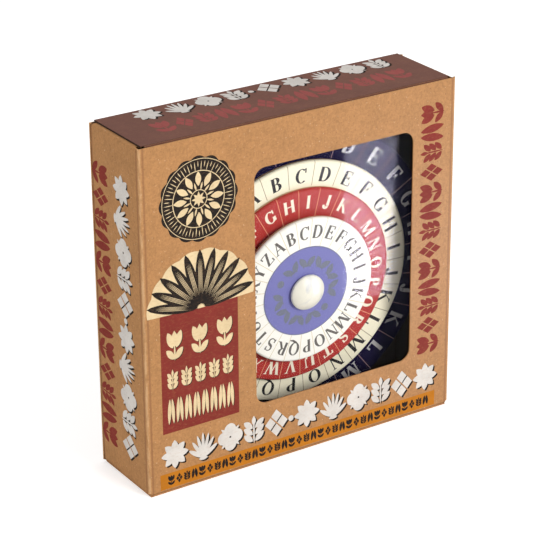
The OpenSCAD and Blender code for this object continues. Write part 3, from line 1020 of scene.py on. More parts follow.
@dataclass(frozen=True)
class OneSidedBoard(BoardInk):
    """A board panel printed on one side only, with bare board behind and painted shade at its ends.

    Attributes:
        middle: a point in the board's middle plane.
        outward: the way the printed side faces.
        cut_x: distance from the carton's middle at which the board ends.
        edge_shade: colour of the painted shade on the board's ends.
        blur: width of the change from one side to the other.
    """

    middle: Triple = (0.0, 0.0, 0.0)
    outward: Triple = (0.0, 0.0, 1.0)
    cut_x: float = 0.0
    edge_shade: Colour = (0.035, 0.018, 0.012)
    blur: float = 0.02 * MM

    def make(self, effects: Effects) -> bpy.types.Material:
        """The material: ink where the way from the middle plane is outwards, and painted shade at the
        board's ends.

        Args:
            effects: the shared groups.

        Returns:
            The material.
        """
        material, desk, coords = self.start()
        inked, bare, bump = self.layers(desk, coords, effects)
        away = desk.add("ShaderNodeVectorMath", {0: coords, 1: self.middle}, operation="SUBTRACT")
        height = desk.add("ShaderNodeVectorMath", {0: away.outputs[0], 1: self.outward},
                          operation="DOT_PRODUCT").outputs["Value"]
        side = desk.mix(desk.ramp(height, -self.blur, self.blur), bare, inked)
        # Painted shade: the board's ends at the carton's sides are darkened, standing in for the shadow
        # in the gap beside them.
        past_cut, _ = desk.inwards(coords, self.cut_x, 0.0)
        ends = desk.ramp(past_cut, 1.5 * self.blur, 0.0)
        self.seal(desk, desk.mix(ends, side, self.edge_shade), bump)
        return material


@dataclass(frozen=True)
class SmoothPrint(Finish):
    """Satin printed film, label, plastic or metal: one colour with light handling.

    Attributes:
        colour: its colour, plain or a socket of the subclass's own.
        roughness, specular, metallic: the shader's values.
        tone: how much the colour swings.
        bump: strength of the fine unevenness.
    """

    colour: Colour
    roughness: float = 0.5
    tone: float = 0.03
    specular: float = 0.12
    metallic: float = 0.0
    bump: float = 0.03

    def tint(self, desk: NodeDesk, coords: Socket) -> Socket | tuple[float, ...]:
        """The colour that goes into the handling group."""
        return (*self.colour, 1.0)

    def make(self, effects: Effects) -> bpy.types.Material:
        """The material: the handling group into one shader.

        Args:
            effects: the shared groups.

        Returns:
            The material.
        """
        material, desk, coords = self.start()
        values = {"Vector": coords, "Base": self.tint(desk, coords), "Roughness": self.roughness,
                  "Tone": self.tone}
        handling = desk.add("ShaderNodeGroup", values, node_tree=effects.handling).outputs
        self.close(desk, {"Base Color": handling["Color"], "Roughness": handling["Roughness"],
                          "Specular IOR Level": self.specular, "Metallic": self.metallic},
                   handling["Height"], self.bump)
        return material


@dataclass(frozen=True)
class Pearl(SmoothPrint):
    """Pearl-white plastic: pale and grey clouds under a soft gloss; the grey clouds are partly a
    painted reflection of dark surroundings.
    """

    grey: Colour = (0.58, 0.59, 0.60)

    def tint(self, desk: NodeDesk, coords: Socket) -> Socket:
        """Wide soft clouds of the two tints, the grey partly a painted reflection."""
        cloud = desk.noise(coords, 150.0, 2.0, 0.5, 0.8)
        # Painted reflection: the grey clouds partly stand in for the dark spot mirrored on the knob.
        return desk.mix(desk.ramp(cloud, 0.5, 0.74), self.colour, self.grey)


@dataclass(frozen=True)
class BareWood(Finish):
    """Cut edge of fine wood board: long streaks round the disc and fine pores."""

    colour: Colour = (0.55, 0.36, 0.21)
    pore: Colour = (0.22, 0.12, 0.06)

    def make(self, effects: Effects) -> bpy.types.Material:
        """The material: streaks along the layers, fine pores, matt.

        Args:
            effects: not used by this finish.

        Returns:
            The material.
        """
        material, desk, coords = self.start()
        streak = desk.streaks(coords, (120, 2600, 120), (0.07, 0, 0), 4.0, 0.65, 0.3)
        pores = desk.noise(coords, 2300.0, 2.0, 0.6)
        dark, light = (tuple(share * c for c in self.colour) for share in (0.82, 1.15))
        toned = desk.mix(desk.ramp(streak, 0.3, 0.7), dark, light)
        spotted = desk.mix(desk.ramp(pores, 0.62, 0.75, 0.0, 0.35), toned, self.pore)
        self.close(desk, {"Base Color": spotted, "Roughness": 0.8}, desk.plus(streak, pores), 0.3)
        return material


@dataclass(frozen=True)
class ClearFilm(Finish):
    """Thin clear film: nearly all light passes, and a faint mirror lies over it.

    Attributes:
        mirror: the mirror's least share.
        wave: strength of the film's waves.
        tint: the mirror's colour.
    """

    mirror: float = 0.0028
    wave: float = 0.06
    tint: Colour = (0.9, 0.9, 1.0)

    def make(self, effects: Effects) -> bpy.types.Material:
        """The material: very low alpha over a mirror, smeared and waved.

        Args:
            effects: not used by this finish.

        Returns:
            The material.
        """
        material, desk, coords = self.start()
        slow = desk.streaks(coords, (22, 22, 14), (0, 0, 0), 2.0, 0.5, 0.4)
        smear = desk.streaks(coords, (90, 90, 30), (0.0, 0.6, 0.0), 3.0)
        rough = desk.ramp(smear, 0.4, 0.75, 0.05, 0.12)
        alpha = desk.ramp(smear, 0.3, 0.8, self.mirror, self.mirror * 1.25)
        self.close(desk, {"Base Color": (*self.tint, 1.0), "Metallic": 1.0, "Roughness": rough,
                          "Alpha": alpha}, desk.times(slow, 6.0), self.wave, 0.02 * MM)
        return material


class Palette:
    """Every finish of the part, made once.

    Attributes:
        prints: each smooth print's material name, colour and roughness.
        inks: each board ink's material name, colour and wear.
        brown: colour, wear, roughness and sheen of the printed lid and tuck flap.
    """

    prints: dict[str, tuple[str, Colour, float]] = {
        "cream": ("Cream print", (0.94, 0.89, 0.70), 0.5),
        "red": ("Red print", (0.43, 0.038, 0.032), 0.5),
        "white": ("White print", (0.90, 0.885, 0.83), 0.5),
        "label": ("Blue label", (0.178, 0.180, 0.445), 0.6),
        # Painted shade: the base disc's letters are white, and their ink is darkened as if the whole
        # ring lay in shade.
        "letter_dim": ("White letter ink darkened as painted shade", (0.56, 0.55, 0.56), 0.45),
        "letter_black": ("Black letter ink", (0.022, 0.02, 0.02), 0.45),
        "letter_cream": ("Cream letter ink", (0.88, 0.80, 0.66), 0.45),
        "letter_grey": ("Grey letter ink", (0.125, 0.115, 0.105), 0.45),
        "line_pink": ("Pale pink line", (0.42, 0.26, 0.28), 0.5),
        "line_tan": ("Tan line", (0.30, 0.22, 0.11), 0.5),
        "line_orange": ("Pale orange line", (0.78, 0.36, 0.20), 0.5),
        "line_cream": ("Faint cream line", (0.66, 0.58, 0.40), 0.5),
        "label_grey": ("Grey label ink", (0.165, 0.180, 0.240), 0.6),
        "washer": ("Dark washer", (0.03, 0.03, 0.03), 0.6),
    }
    inks: dict[str, tuple[str, Colour, float]] = {
        "maroon": ("Maroon ink", (0.225, 0.035, 0.028), 0.16),
        "white_ink": ("White ink", (0.69, 0.655, 0.62), 0.2),
        "black_ink": ("Black ink", (0.018, 0.015, 0.014), 0.12),
        "cream_ink": ("Cream ink", (0.74, 0.58, 0.35), 0.22),
        "orange_ink": ("Orange ink", (0.52, 0.185, 0.016), 0.2),
    }
    brown: tuple[Colour, float, float, float] = ((0.145, 0.054, 0.037), 0.12, 0.62, 0.15)

    def __init__(self, effects: Effects) -> None:
        """Builds the materials; the lid's and the tuck flap's printed sides come from their boxes.

        Args:
            effects: the shared groups.
        """
        lid_low, lid_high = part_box("top_lid")
        tuck_low, tuck_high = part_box("top_tuck_flap")
        half = (lid_high.z - lid_low.z) / 2
        leaning = (0.0, -math.cos(TUCK_SLANT), -math.sin(TUCK_SLANT))
        finishes: dict[str, Finish] = {
            "kraft": KraftBoard("Kraft board"),
            # The sleeve's inner faces are darkened as painted shade.
            "lined": KraftBoard("Kraft board with painted inside shade", inside_shade=0.93),
            "lid": OneSidedBoard("Brown printed lid", *self.brown, (0.0, 0.0, lid_high.z - half),
                                 (0.0, 0.0, 1.0), lid_high.x),
            "tuck": OneSidedBoard("Brown printed tuck flap", *self.brown,
                                  (0.0, tuck_low.y + half, tuck_high.z - half), leaning, tuck_high.x),
            "dull_red": BoardInk("Dull red ink", (0.265, 0.045, 0.040), 0.12, 0.62, 0.2),
            "film": ClearFilm("Clear film"),
            "wood": BareWood("Bare wood"),
            "navy": SmoothPrint("Navy print", (0.009, 0.0065, 0.036), specular=0.01),
            "knob": Pearl("Pearl plastic with painted grey reflection", (0.81, 0.785, 0.68), 0.34, 0.02, 0.5, bump=0.02),
            "steel": SmoothPrint("Plain steel", (0.56, 0.56, 0.58), 0.34, 0.08, 0.5, 1.0),
            **{key: BoardInk(*values) for key, values in self.inks.items()},
            **{key: SmoothPrint(*values) for key, values in self.prints.items()},
        }
        self.made = {key: finish.make(effects) for key, finish in finishes.items()}

    def __getitem__(self, key: str) -> bpy.types.Material:
        """The material with that name."""
        return self.made[key]


def dress(node: str, material: bpy.types.Material) -> None:
    """Gives a CAD node its material.

    Args:
        node: the node's name.
        material: its finish.
    """
    mesh = frame["nodes"][node].data
    mesh.materials.clear()
    mesh.materials.append(material)


# --------------------------------------------------------------------- the wheel


@dataclass(frozen=True)
class WheelAxis:
    """The wheel's own axes: a point on the pivot and directions right, up and out of it."""

    plane: Plane

    @staticmethod
    def from_joint(joint: str) -> WheelAxis:
        """Reads the pivot from a joint of the frame; up is the steepest way on the face.

        Args:
            joint: the joint's name.

        Returns:
            The axes.
        """
        found = next(j for j in frame["joints"] if j["name"] == joint)
        out = Vector(found["axis"]).normalized()
        right = Vector((0, 0, 1)).cross(out).normalized()
        return WheelAxis(Plane(Vector(found["pos_m"]), right, out.cross(right), out))

    def reach(self, node: str) -> tuple[float, float]:
        """A node's largest radius about the pivot and the height of its front face.

        Args:
            node: a CAD node.

        Returns:
            Radius and height along the axis, in metres.
        """
        mesh = frame["nodes"][node].data
        points = np.empty(len(mesh.vertices) * 3)
        mesh.vertices.foreach_get("co", points)
        away = points.reshape(-1, 3) - np.array(self.plane.origin)
        height = away @ np.array(self.plane.out)
        radial = away - height[:, None] * np.array(self.plane.out)
        return float(np.linalg.norm(radial, axis=1).max()), float(height.max())


@dataclass
class LetterRing:
    """The printed ring on one disc: twenty-six letters with lines between them.

    Attributes:
        body: the disc's body.
        face: the CAD node that carries the print.
        slot: its material slot.
        letter_radius, letter_height: size of the letters, in metres.
        first_angle: place of the letter A, in degrees clockwise from the top.
        inner_radius: where the lines start.
        line_width: width of the lines.
        shoulder: radius of the disc's rounded edge, over which the lines run.
        edge_turn, edge_points: how far round that edge they run, in degrees, and in how many
            points.
        letter_ink, line_ink: palette names.
        alphabet: the letters' weight.
        letters: the letters, in order.
    """

    body: str
    face: str
    slot: str
    letter_radius: float
    letter_height: float
    first_angle: float
    inner_radius: float
    letter_ink: str
    line_ink: str
    line_width: float = 0.22 * MM
    shoulder: float = 0.94 * MM
    edge_turn: float = 68.0
    edge_points: int = 6
    alphabet: Alphabet = field(default_factory=Alphabet)
    letters: str = "ABCDEFGHIJKLMNOPQRSTUVWXYZ"

    def step(self) -> float:
        """Angle from one letter to the next, in degrees."""
        return 360.0 / len(self.letters)

    def letter_strips(self) -> list[Strip]:
        """All letters: each is scaled, moved out to its radius and turned clockwise.

        Returns:
            The strips, in metres about the pivot.
        """
        strips: list[Strip] = []
        for number, letter in enumerate(self.letters):
            angle = self.first_angle + number * self.step()
            for strip in self.alphabet.centred(letter):
                placed = strip * self.letter_height + (0.0, self.letter_radius)
                strips.append(turned(placed, -angle))
        return strips

    def line_mesh(self, plane: Plane, radius: float, height: float) -> tuple[np.ndarray, np.ndarray]:
        """The lines between the letters as ribbons that bend over the disc's rounded edge.

        A ribbon's profile runs level to the shoulder and then round a quarter circle about
        the shoulder's centre. Turning that profile to every line's angle gives the mesh.

        Args:
            plane: the wheel's axes.
            radius, height: the disc's radius and the height of its face.

        Returns:
            Vertices and quads.
        """
        bend = np.radians(np.linspace(0, self.edge_turn, self.edge_points))
        flat_r = np.array([self.inner_radius, radius - self.shoulder])
        r = np.concatenate([flat_r, radius - self.shoulder + self.shoulder * np.sin(bend[1:])])
        z = np.concatenate([[height, height], height - self.shoulder * (1 - np.cos(bend[1:]))])
        out_r = np.concatenate([[0, 0], np.sin(bend[1:])])
        out_z = np.concatenate([[1, 1], np.cos(bend[1:])])
        r, z = r + LIFT * out_r, z + LIFT * out_z
        count = len(self.letters)
        angle = np.radians(self.first_angle + (np.arange(count) + 0.5) * self.step())
        along = np.stack([np.sin(angle), np.cos(angle)], 1)
        across = np.stack([np.cos(angle), -np.sin(angle)], 1) * self.line_width / 2
        right, up, out = (np.array(v) for v in (plane.right, plane.up, plane.out))
        flat = along[:, None, None, :] * r[None, :, None, None]
        flat = flat + across[:, None, None, :] * np.array([-1.0, 1.0])[None, None, :, None]
        verts = (np.array(plane.origin) + flat[..., :1] * right + flat[..., 1:] * up
                 + z[None, :, None, None] * out)
        cell = np.arange(len(r) - 1) * 2
        quad = np.stack([cell, cell + 1, cell + 3, cell + 2], 1)
        quads = (quad[None] + (np.arange(count) * 2 * len(r))[:, None, None]).reshape(-1, 4)
        return verts.reshape(-1, 3), quads[:, ::-1]

    def build(self, axis: WheelAxis, palette: Palette) -> None:
        """Makes the letters and the lines.

        Args:
            axis: the wheel's axes.
            palette: the finishes.
        """
        radius, height = axis.reach(self.face)
        print_piece(f"{self.body}_letters", self.letter_strips(), axis.plane,
                    palette[self.letter_ink], self.body, self.slot, height + LIFT)
        verts, quads = self.line_mesh(axis.plane, radius, height)
        link_piece(f"{self.body}_lines", verts, quads, palette[self.line_ink], self.body, self.slot)
        log.info("%s: letters at %.1f mm", self.body, self.letter_radius / MM)


@dataclass
class CentreLabel:
    """Ornament on the round centre label: a wreath of leaves, two dots and an outline.

    Attributes:
        body, face, slot: the label's body, its CAD node and its material slot.
        wreath_radius: where the leaves stand.
        leaf: length and width of a leaf.
        leaf_count, leaf_lean: how many leaves, and their lean in degrees, by turns to each side.
        bead: place from the leaf's middle and radius of the bead under each leaf.
        dot_place, dot_radius, dot_angles: the dots, in degrees clockwise from the top.
        dot_gap: no leaf stands nearer to a dot, in degrees.
        outline, margin: width of the outline and its distance from the label's edge.
    """

    body: str = "white_wheel"
    face: str = "centre_label"
    slot: str = "blue_label"
    wreath_radius: float = 11.6 * MM
    leaf: tuple[float, float] = (5.0 * MM, 2.5 * MM)
    leaf_count: int = 22
    leaf_lean: float = 32.0
    bead: tuple[float, float] = (-1.9 * MM, 0.32 * MM)
    dot_place: float = 11.8 * MM
    dot_radius: float = 1.45 * MM
    dot_angles: tuple[float, float] = (-64.5, 135.5)
    dot_gap: float = 15.0
    outline: float = 0.28 * MM
    margin: float = 0.05 * MM

    def strips(self) -> list[Strip]:
        """Leaves in pairs round the wreath, left out beside the dots, and the two dots.

        Returns:
            The strips, in metres about the pivot.
        """
        shapes: list[Strip] = []
        for number in range(self.leaf_count):
            angle = (number + 0.5) * 360.0 / self.leaf_count
            gap = min(abs((angle - a + 180) % 360 - 180) for a in self.dot_angles)
            if gap < self.dot_gap:
                continue
            lean = self.leaf_lean if number % 2 else -self.leaf_lean
            leaf = lens(0, 0, *self.leaf, 90 + lean, power=0.8)
            bead = disc(0, *self.bead, 10)
            shapes += [turned(s + (0, self.wreath_radius), -angle) for s in (leaf, bead)]
        dot = disc(0, self.dot_place, self.dot_radius)
        return shapes + [turned(dot, -angle) for angle in self.dot_angles]

    def build(self, axis: WheelAxis, palette: Palette) -> None:
        """Makes the ornament and the outline.

        Args:
            axis: the wheel's axes.
            palette: the finishes.
        """
        radius, height = axis.reach(self.face)
        rim = radius - self.margin
        ring = bowl(0, 0, rim, rim, 0, 360, self.outline, self.outline, 96)
        for name, strips in (("label_wreath", self.strips()), ("label_outline", [ring])):
            print_piece(name, strips, axis.plane, palette["label_grey"], self.body, self.slot,
                        height + LIFT)
        log.info("centre label: %.1f mm across", 2 * radius / MM)


@dataclass
class LetterWheel:
    """The stack of discs, its pivot and everything printed on them."""

    axis: WheelAxis = field(default_factory=lambda: WheelAxis.from_joint("pivot_spin"))

    def rings(self) -> list[LetterRing]:
        """The four printed rings, from the base disc to the front.

        Returns:
            The rings.
        """
        bold = Alphabet(0.20, 0.075, 1.18)
        book = Alphabet(0.185, 0.06, 1.24)
        light = Alphabet(0.18, 0.065, 1.13)
        return [
            # The base ring's letters take the darkened white ink: painted shade.
            LetterRing("carton", "base_face_print", "navy_print", 53.2 * MM, 6.3 * MM, -17.4,
                       47.3 * MM, "letter_dim", "line_pink", shoulder=1.34 * MM, alphabet=bold),
            LetterRing("cream_wheel", "cream_face_print", "cream_print", 42.0 * MM, 5.5 * MM, -27.3,
                       37.9 * MM, "letter_black", "line_tan", alphabet=book),
            LetterRing("red_wheel", "red_face_print", "red_print", 32.7 * MM, 5.0 * MM, -106.7,
                       25.0 * MM, "letter_cream", "line_orange", alphabet=bold),
            LetterRing("white_wheel", "white_face_print", "white_print", 23.0 * MM, 5.1 * MM, -31.4,
                       17.45 * MM, "letter_grey", "line_cream", alphabet=light),
        ]

    def dress(self, palette: Palette) -> None:
        """Gives the CAD nodes of the wheel their finishes.

        Args:
            palette: the finishes.
        """
        woods = ("base_disc", "cream_disc", "red_disc", "white_disc", "upper_spacer")
        finishes = {**{node: "wood" for node in woods},
                    "base_face_print": "navy", "cream_face_print": "cream",
                    "red_face_print": "red", "white_face_print": "white",
                    "centre_label": "label", "mid_washer": "washer", "lower_washer": "washer",
                    "back_washer": "steel", "pivot_bolt": "steel", "knob": "knob"}
        for node, finish in finishes.items():
            dress(node, palette[finish])

    def build(self, palette: Palette) -> None:
        """Dresses the discs and prints the rings and the label.

        Args:
            palette: the finishes.
        """
        self.dress(palette)
        for ring in self.rings():
            ring.build(self.axis, palette)
        CentreLabel().build(self.axis, palette)


# -------------------------------------------------------------------- the carton


class Side(Enum):
    """The printed faces of the carton."""

    FRONT = "front"
    LEFT = "left"
    RIGHT = "right"
    TOP = "top"


@dataclass(frozen=True)
class CartonFaces:
    """Planes on the carton's faces, with their origins at each face's top left corner."""

    low: Vector
    high: Vector

    def plane(self, side: Side) -> Plane:
        """The plane of one face, seen from outside; on the lid the front edge is below.

        Args:
            side: the face.

        Returns:
            Its plane.
        """
        x0, x1, y0, y1, z1 = self.low.x, self.high.x, self.low.y, self.high.y, self.high.z
        up, back = Vector((0, 0, 1)), Vector((0, 1, 0))
        planes = {
            Side.FRONT: Plane(Vector((x0, y0, z1)), Vector((1, 0, 0)), up, -back),
            Side.LEFT: Plane(Vector((x0, y1, z1)), -back, up, Vector((-1, 0, 0))),
            Side.RIGHT: Plane(Vector((x1, y0, z1)), back, up, Vector((1, 0, 0))),
            Side.TOP: Plane(Vector((x0, y1, z1)), Vector((1, 0, 0)), back, up),
        }
        return planes[side]


def placed(strips: list[Strip], x: float, y: float, turn: float = 0.0) -> list[Strip]:
    """Strips turned and moved to a place on a face, x to the right and y down from its top."""
    return [turned(s, turn) + (x, -y) for s in strips]


def heavy_rhythm(count: int) -> tuple[tuple[Motif, float], ...]:
    """A run of broad flowers with a dot in its middle.

    Args:
        count: how many flowers.

    Returns:
        Each ornament and its width.
    """
    cycle = ((Motif.STAR, 1.0), (Motif.SHELL, 1.05), (Motif.QUATREFOIL, 0.96), (Motif.SPRIG, 0.8),
             (Motif.DIAPER, 0.9))
    run = [cycle[k % len(cycle)] for k in range(count)]
    run.insert(count // 2, (Motif.DOT, 0.2))
    return tuple(run)


def narrow_rhythm(count: int) -> tuple[tuple[Motif, float], ...]:
    """A run of narrow flowers."""
    cycle = ((Motif.TULIP, 0.72), (Motif.DIAPER, 0.66), (Motif.SPRIG, 0.7), (Motif.LEAF_PAIR, 0.6))
    return tuple(cycle[k % len(cycle)] for k in range(count))


@dataclass(frozen=True)
class Press:
    """Prints on one face: what its pieces share.

    Attributes:
        plane: the face.
        palette: the inks.
        body, slot: the body that the print rides on and its material slot.
    """

    plane: Plane
    palette: Palette
    body: str = "carton"
    slot: str = "kraft_board"

    def lay(self, name: str, strips: list[Strip], ink: str, layer: int) -> None:
        """Prints one colour as one piece.

        Args:
            name: the piece's name.
            strips: its strips, in metres.
            ink: the palette's name of the ink.
            layer: how many lifts it lies off the face.
        """
        print_piece(name, strips, self.plane, self.palette[ink], self.body, self.slot, LIFT * layer)

    def lay_shadowed(self, name: str, strips: list[Strip], shift: float, layer: int) -> None:
        """Prints white strips over black ones.

        Args:
            name: the white piece's name.
            strips: the white strips, in metres.
            shift: how far the black lies to the right and down.
            layer: the black piece's layer; the white one is the next.
        """
        self.lay(name + "_shade", [s + (shift, -shift) for s in strips], "black_ink", layer)
        self.lay(name, strips, "white_ink", layer + 1)


@dataclass
class EngravedRosette:
    """The large ornament on the front: an engraved rosette over an open fan.

    Attributes:
        centre: its place from the face's top left corner, in metres.
        radius: radius of the rosette.
        rays, petals: how many fine rays and petals it has.
        ray_top, ray_lengths, ray_width: the rays' outer end and their lengths by turns, as
            shares of the rosette's radius, and their width.
        petal, vein: place from the centre and length, as shares of the radius, and width.
        star: length, as a share of the radius, and width of the leaves of the middle star.
        rings: each engraved ring's radius as a share of the rosette's, and its width.
        scallops: arcs along half the rim of the rosette and of the fan.
        rim_wave, leaf_wave: the scallops' depth on either, as shares of its radius.
        fan_radius, fan_drop: radius of the fan, and the way down to its hinge.
        fan_spread, blades: greatest tilt of a blade in degrees, and how many there are.
        leaf_span: the pale leaf's first and last angle, in degrees.
        blade: a blade's place and length, as shares of the fan's radius, and its width.
        blade_lines: places of the pale lines across a blade, in millimetres.
        blade_line: such a line's place, length and width, as for the blade.
        line_drop: its drop to the hinge for each millimetre off the middle, as such a share.
    """

    centre: tuple[float, float] = (22.6 * MM, 22.5 * MM)
    radius: float = 15.5 * MM
    rays: int = 60
    petals: int = 12
    ray_top: float = 0.88
    ray_lengths: tuple[float, float] = (0.15, 0.24)
    ray_width: float = 0.28 * MM
    petal: Triple = (0.47, 0.34, 2.3 * MM)
    vein: Triple = (0.30, 0.2, 0.7 * MM)
    star: tuple[float, float] = (0.36, 1.5 * MM)
    rings: tuple[tuple[float, float], ...] = ((0.93, 0.22 * MM), (0.66, 0.3 * MM), (0.22, 0.3 * MM))
    scallops: int = 8
    rim_wave: float = 0.06
    leaf_wave: float = 0.035
    fan_radius: float = 21.0 * MM
    fan_drop: float = 40.0 * MM
    fan_spread: float = 78.0
    blades: int = 11
    leaf_span: tuple[float, float] = (2.0, 178.0)
    blade: Triple = (0.55, 0.98, 3.9 * MM)
    blade_lines: tuple[float, ...] = (-0.62, -0.2, 0.2, 0.62)
    blade_line: Triple = (0.58, 0.62, 0.2 * MM)
    line_drop: float = 0.06

    def tilts(self) -> np.ndarray:
        """The blades' tilts in degrees, evenly over the spread."""
        return np.linspace(-self.fan_spread, self.fan_spread, self.blades)

    def on_blade(self, strip: Strip, tilt: float) -> Strip:
        """A strip drawn upwards from the fan's hinge, tilted with a blade and moved to its place."""
        return turned(strip, tilt) + (0, -self.fan_drop)

    def dark(self) -> list[Strip]:
        """The rosette's black ground with a scalloped rim, and the fan's black blades.

        Returns:
            The strips, in metres about the rosette's centre.
        """
        angle = np.linspace(0, 2 * np.pi, 241)
        rim = self.radius * (1 - self.rim_wave * (1 - np.abs(np.cos(self.scallops * angle))))
        edge = np.stack([rim * np.cos(angle), rim * np.sin(angle)], 1)
        ground = np.array([edge, np.zeros_like(edge)])
        place, length, width = self.blade
        blade = lens(0, self.fan_radius * place, self.fan_radius * length, width, 90, power=0.6)
        return [ground, *(self.on_blade(blade, tilt) for tilt in self.tilts())]

    def pale(self) -> list[Strip]:
        """The fan's pale leaf behind its blades: a scalloped part of a disc.

        Returns:
            The strip, in metres about the rosette's centre.
        """
        angle = np.linspace(*np.radians(self.leaf_span), 121)
        rim = self.fan_radius * (1 + self.leaf_wave * np.abs(np.sin(self.scallops * angle)))
        edge = np.stack([rim * np.cos(angle), rim * np.sin(angle)], 1)
        return [np.array([edge, np.zeros_like(edge)]) + (0, -self.fan_drop)]

    def lines(self) -> list[Strip]:
        """Engraved pale lines: fine rays, rings, two rows of petals and lines on the blades.

        Returns:
            The strips, in metres about the rosette's centre.
        """
        r = self.radius
        shapes: list[Strip] = []
        for number in range(self.rays):
            length = self.ray_lengths[number % 2]
            ray = lens(0, r * (self.ray_top - length / 2), r * length, self.ray_width, 90)
            shapes.append(turned(ray, number * 360.0 / self.rays))
        petal, vein = (lens(0, r * place, r * length, width, 90, power=power)
                       for (place, length, width), power in ((self.petal, 0.9), (self.vein, 1.0)))
        step = 360.0 / self.petals
        for number in range(self.petals):
            shapes += [turned(petal, number * step), turned(vein, (number + 0.5) * step)]
        shapes += [bowl(0, 0, r * share, r * share, 0, 360, width, width, 72)
                   for share, width in self.rings]
        length, width = self.star
        shapes += [turned(lens(0, 0, r * length, width, 90), a) for a in (0, 45, 90, 135)]
        place, length, width = self.blade_line
        for tilt in self.tilts():
            for shift in self.blade_lines:
                line = lens(shift * MM, self.fan_radius * (place - self.line_drop * abs(shift)),
                            self.fan_radius * length, width, 90)
                shapes.append(self.on_blade(line, tilt))
        return shapes

    def build(self, press: Press) -> None:
        """Prints the fan's leaf, the black parts and the pale lines, one over the other.

        Args:
            press: the front's plane and inks.
        """
        layers = (("rosette_leaf", self.pale(), "cream_ink"),
                  ("rosette_ground", self.dark(), "black_ink"),
                  ("rosette_lines", self.lines(), "cream_ink"))
        for layer, (name, strips, ink) in enumerate(layers, 2):
            press.lay(name, placed(strips, *self.centre), ink, layer)


@dataclass(frozen=True)
class Block:
    """A rectangle on a face, from one corner to the other, y down from the face's top."""

    x0: float
    y0: float
    x1: float
    y1: float

    def strip(self) -> Strip:
        """The plain rectangle."""
        return bar(self.x0, self.x1, -self.centre()[1], self.y1 - self.y0)

    def centre(self) -> tuple[float, float]:
        """Its middle."""
        return (self.x0 + self.x1) / 2, (self.y0 + self.y1) / 2

    def row(self, share: float, height: float, rhythm: tuple[tuple[Motif, float], ...]) -> list[Strip]:
        """A row of ornaments about the origin that fills a share of the rectangle's width."""
        return OrnamentRow((self.x1 - self.x0) * share, height, rhythm).strips()


@dataclass
class FrontPrint:
    """Generic print on the windowed front: panel, rows, strip and an upright column.

    All places are from the face's top left corner, in metres.

    Attributes:
        panel: the maroon panel.
        panel_rows: each row's place from the top, its height, and how many of which ornament
            stand in it, of what width in units of their height.
        panel_share, strip_share: how much of the width the rows fill.
        panel_shadow, title_shadow: how far the black shows beside the ornaments.
        title, title_height: left end, right end and middle of the title row, and its height.
        strip, strip_fill: the orange strip, and its ornaments' height as a share of its own.
        column: top, bottom, middle and height of the upright column.
        title_count, strip_count, column_count: how many flowers these rows have.
    """

    panel: Block = Block(6.2 * MM, 58.6 * MM, 37.4 * MM, 106.8 * MM)
    panel_rows: tuple[tuple[float, float, int, Motif, float], ...] = (
        (73.9 * MM, 11.2 * MM, 3, Motif.TULIP, 0.6), (86.7 * MM, 8.0 * MM, 5, Motif.SPRIG, 0.56),
        (98.6 * MM, 10.0 * MM, 8, Motif.LEAF_PAIR, 0.27))
    panel_share: float = 0.86
    panel_shadow: float = 0.28 * MM
    title: tuple[float, float, float] = (5.2 * MM, 124.4 * MM, 115.5 * MM)
    title_height: float = 11.0 * MM
    title_shadow: float = 0.62 * MM
    strip: Block = Block(4.6 * MM, 122.3 * MM, 123.6 * MM, 128.3 * MM)
    strip_share: float = 0.95
    strip_fill: float = 0.66
    column: tuple[float, float, float, float] = (8.0 * MM, 106.0 * MM, 119.9 * MM, 10.4 * MM)
    title_count: int = 11
    strip_count: int = 36
    column_count: int = 13

    def rows(self) -> list[Strip]:
        """The panel's rows of ornaments.

        Returns:
            The strips, in metres from the face's top left corner.
        """
        middle = self.panel.centre()[0]
        shapes: list[Strip] = []
        for y, height, count, motif, width in self.panel_rows:
            row = self.panel.row(self.panel_share, height, ((motif, width),) * count)
            shapes += placed(row, middle, y)
        return shapes

    def build(self, press: Press) -> None:
        """Prints the front.

        Args:
            press: the front's plane and inks.
        """
        rows, dim = self.rows(), self.panel_shadow
        press.lay("front_panel", [self.panel.strip()], "maroon", 1)
        press.lay("front_panel_shade", [s + (dim, -dim) for s in rows], "black_ink", 2)
        press.lay("front_panel_rows", rows, "cream_ink", 3)
        press.lay("front_strip", [self.strip.strip()], "orange_ink", 1)
        small_height = (self.strip.y1 - self.strip.y0) * self.strip_fill
        small = self.strip.row(self.strip_share, small_height, narrow_rhythm(self.strip_count))
        press.lay("front_strip_row", placed(small, *self.strip.centre()), "black_ink", 2)
        x0, x1, y = self.title
        title = OrnamentRow(x1 - x0, self.title_height, heavy_rhythm(self.title_count)).strips()
        press.lay_shadowed("front_title", placed(title, (x0 + x1) / 2, y), self.title_shadow, 2)
        top, bottom, x, height = self.column
        column = OrnamentRow(bottom - top, height, narrow_rhythm(self.column_count)).strips()
        press.lay("front_column", placed(column, x, (top + bottom) / 2, 90), "maroon", 1)
        EngravedRosette().build(press)
        log.info("front: panel, strip, title, column and rosette")


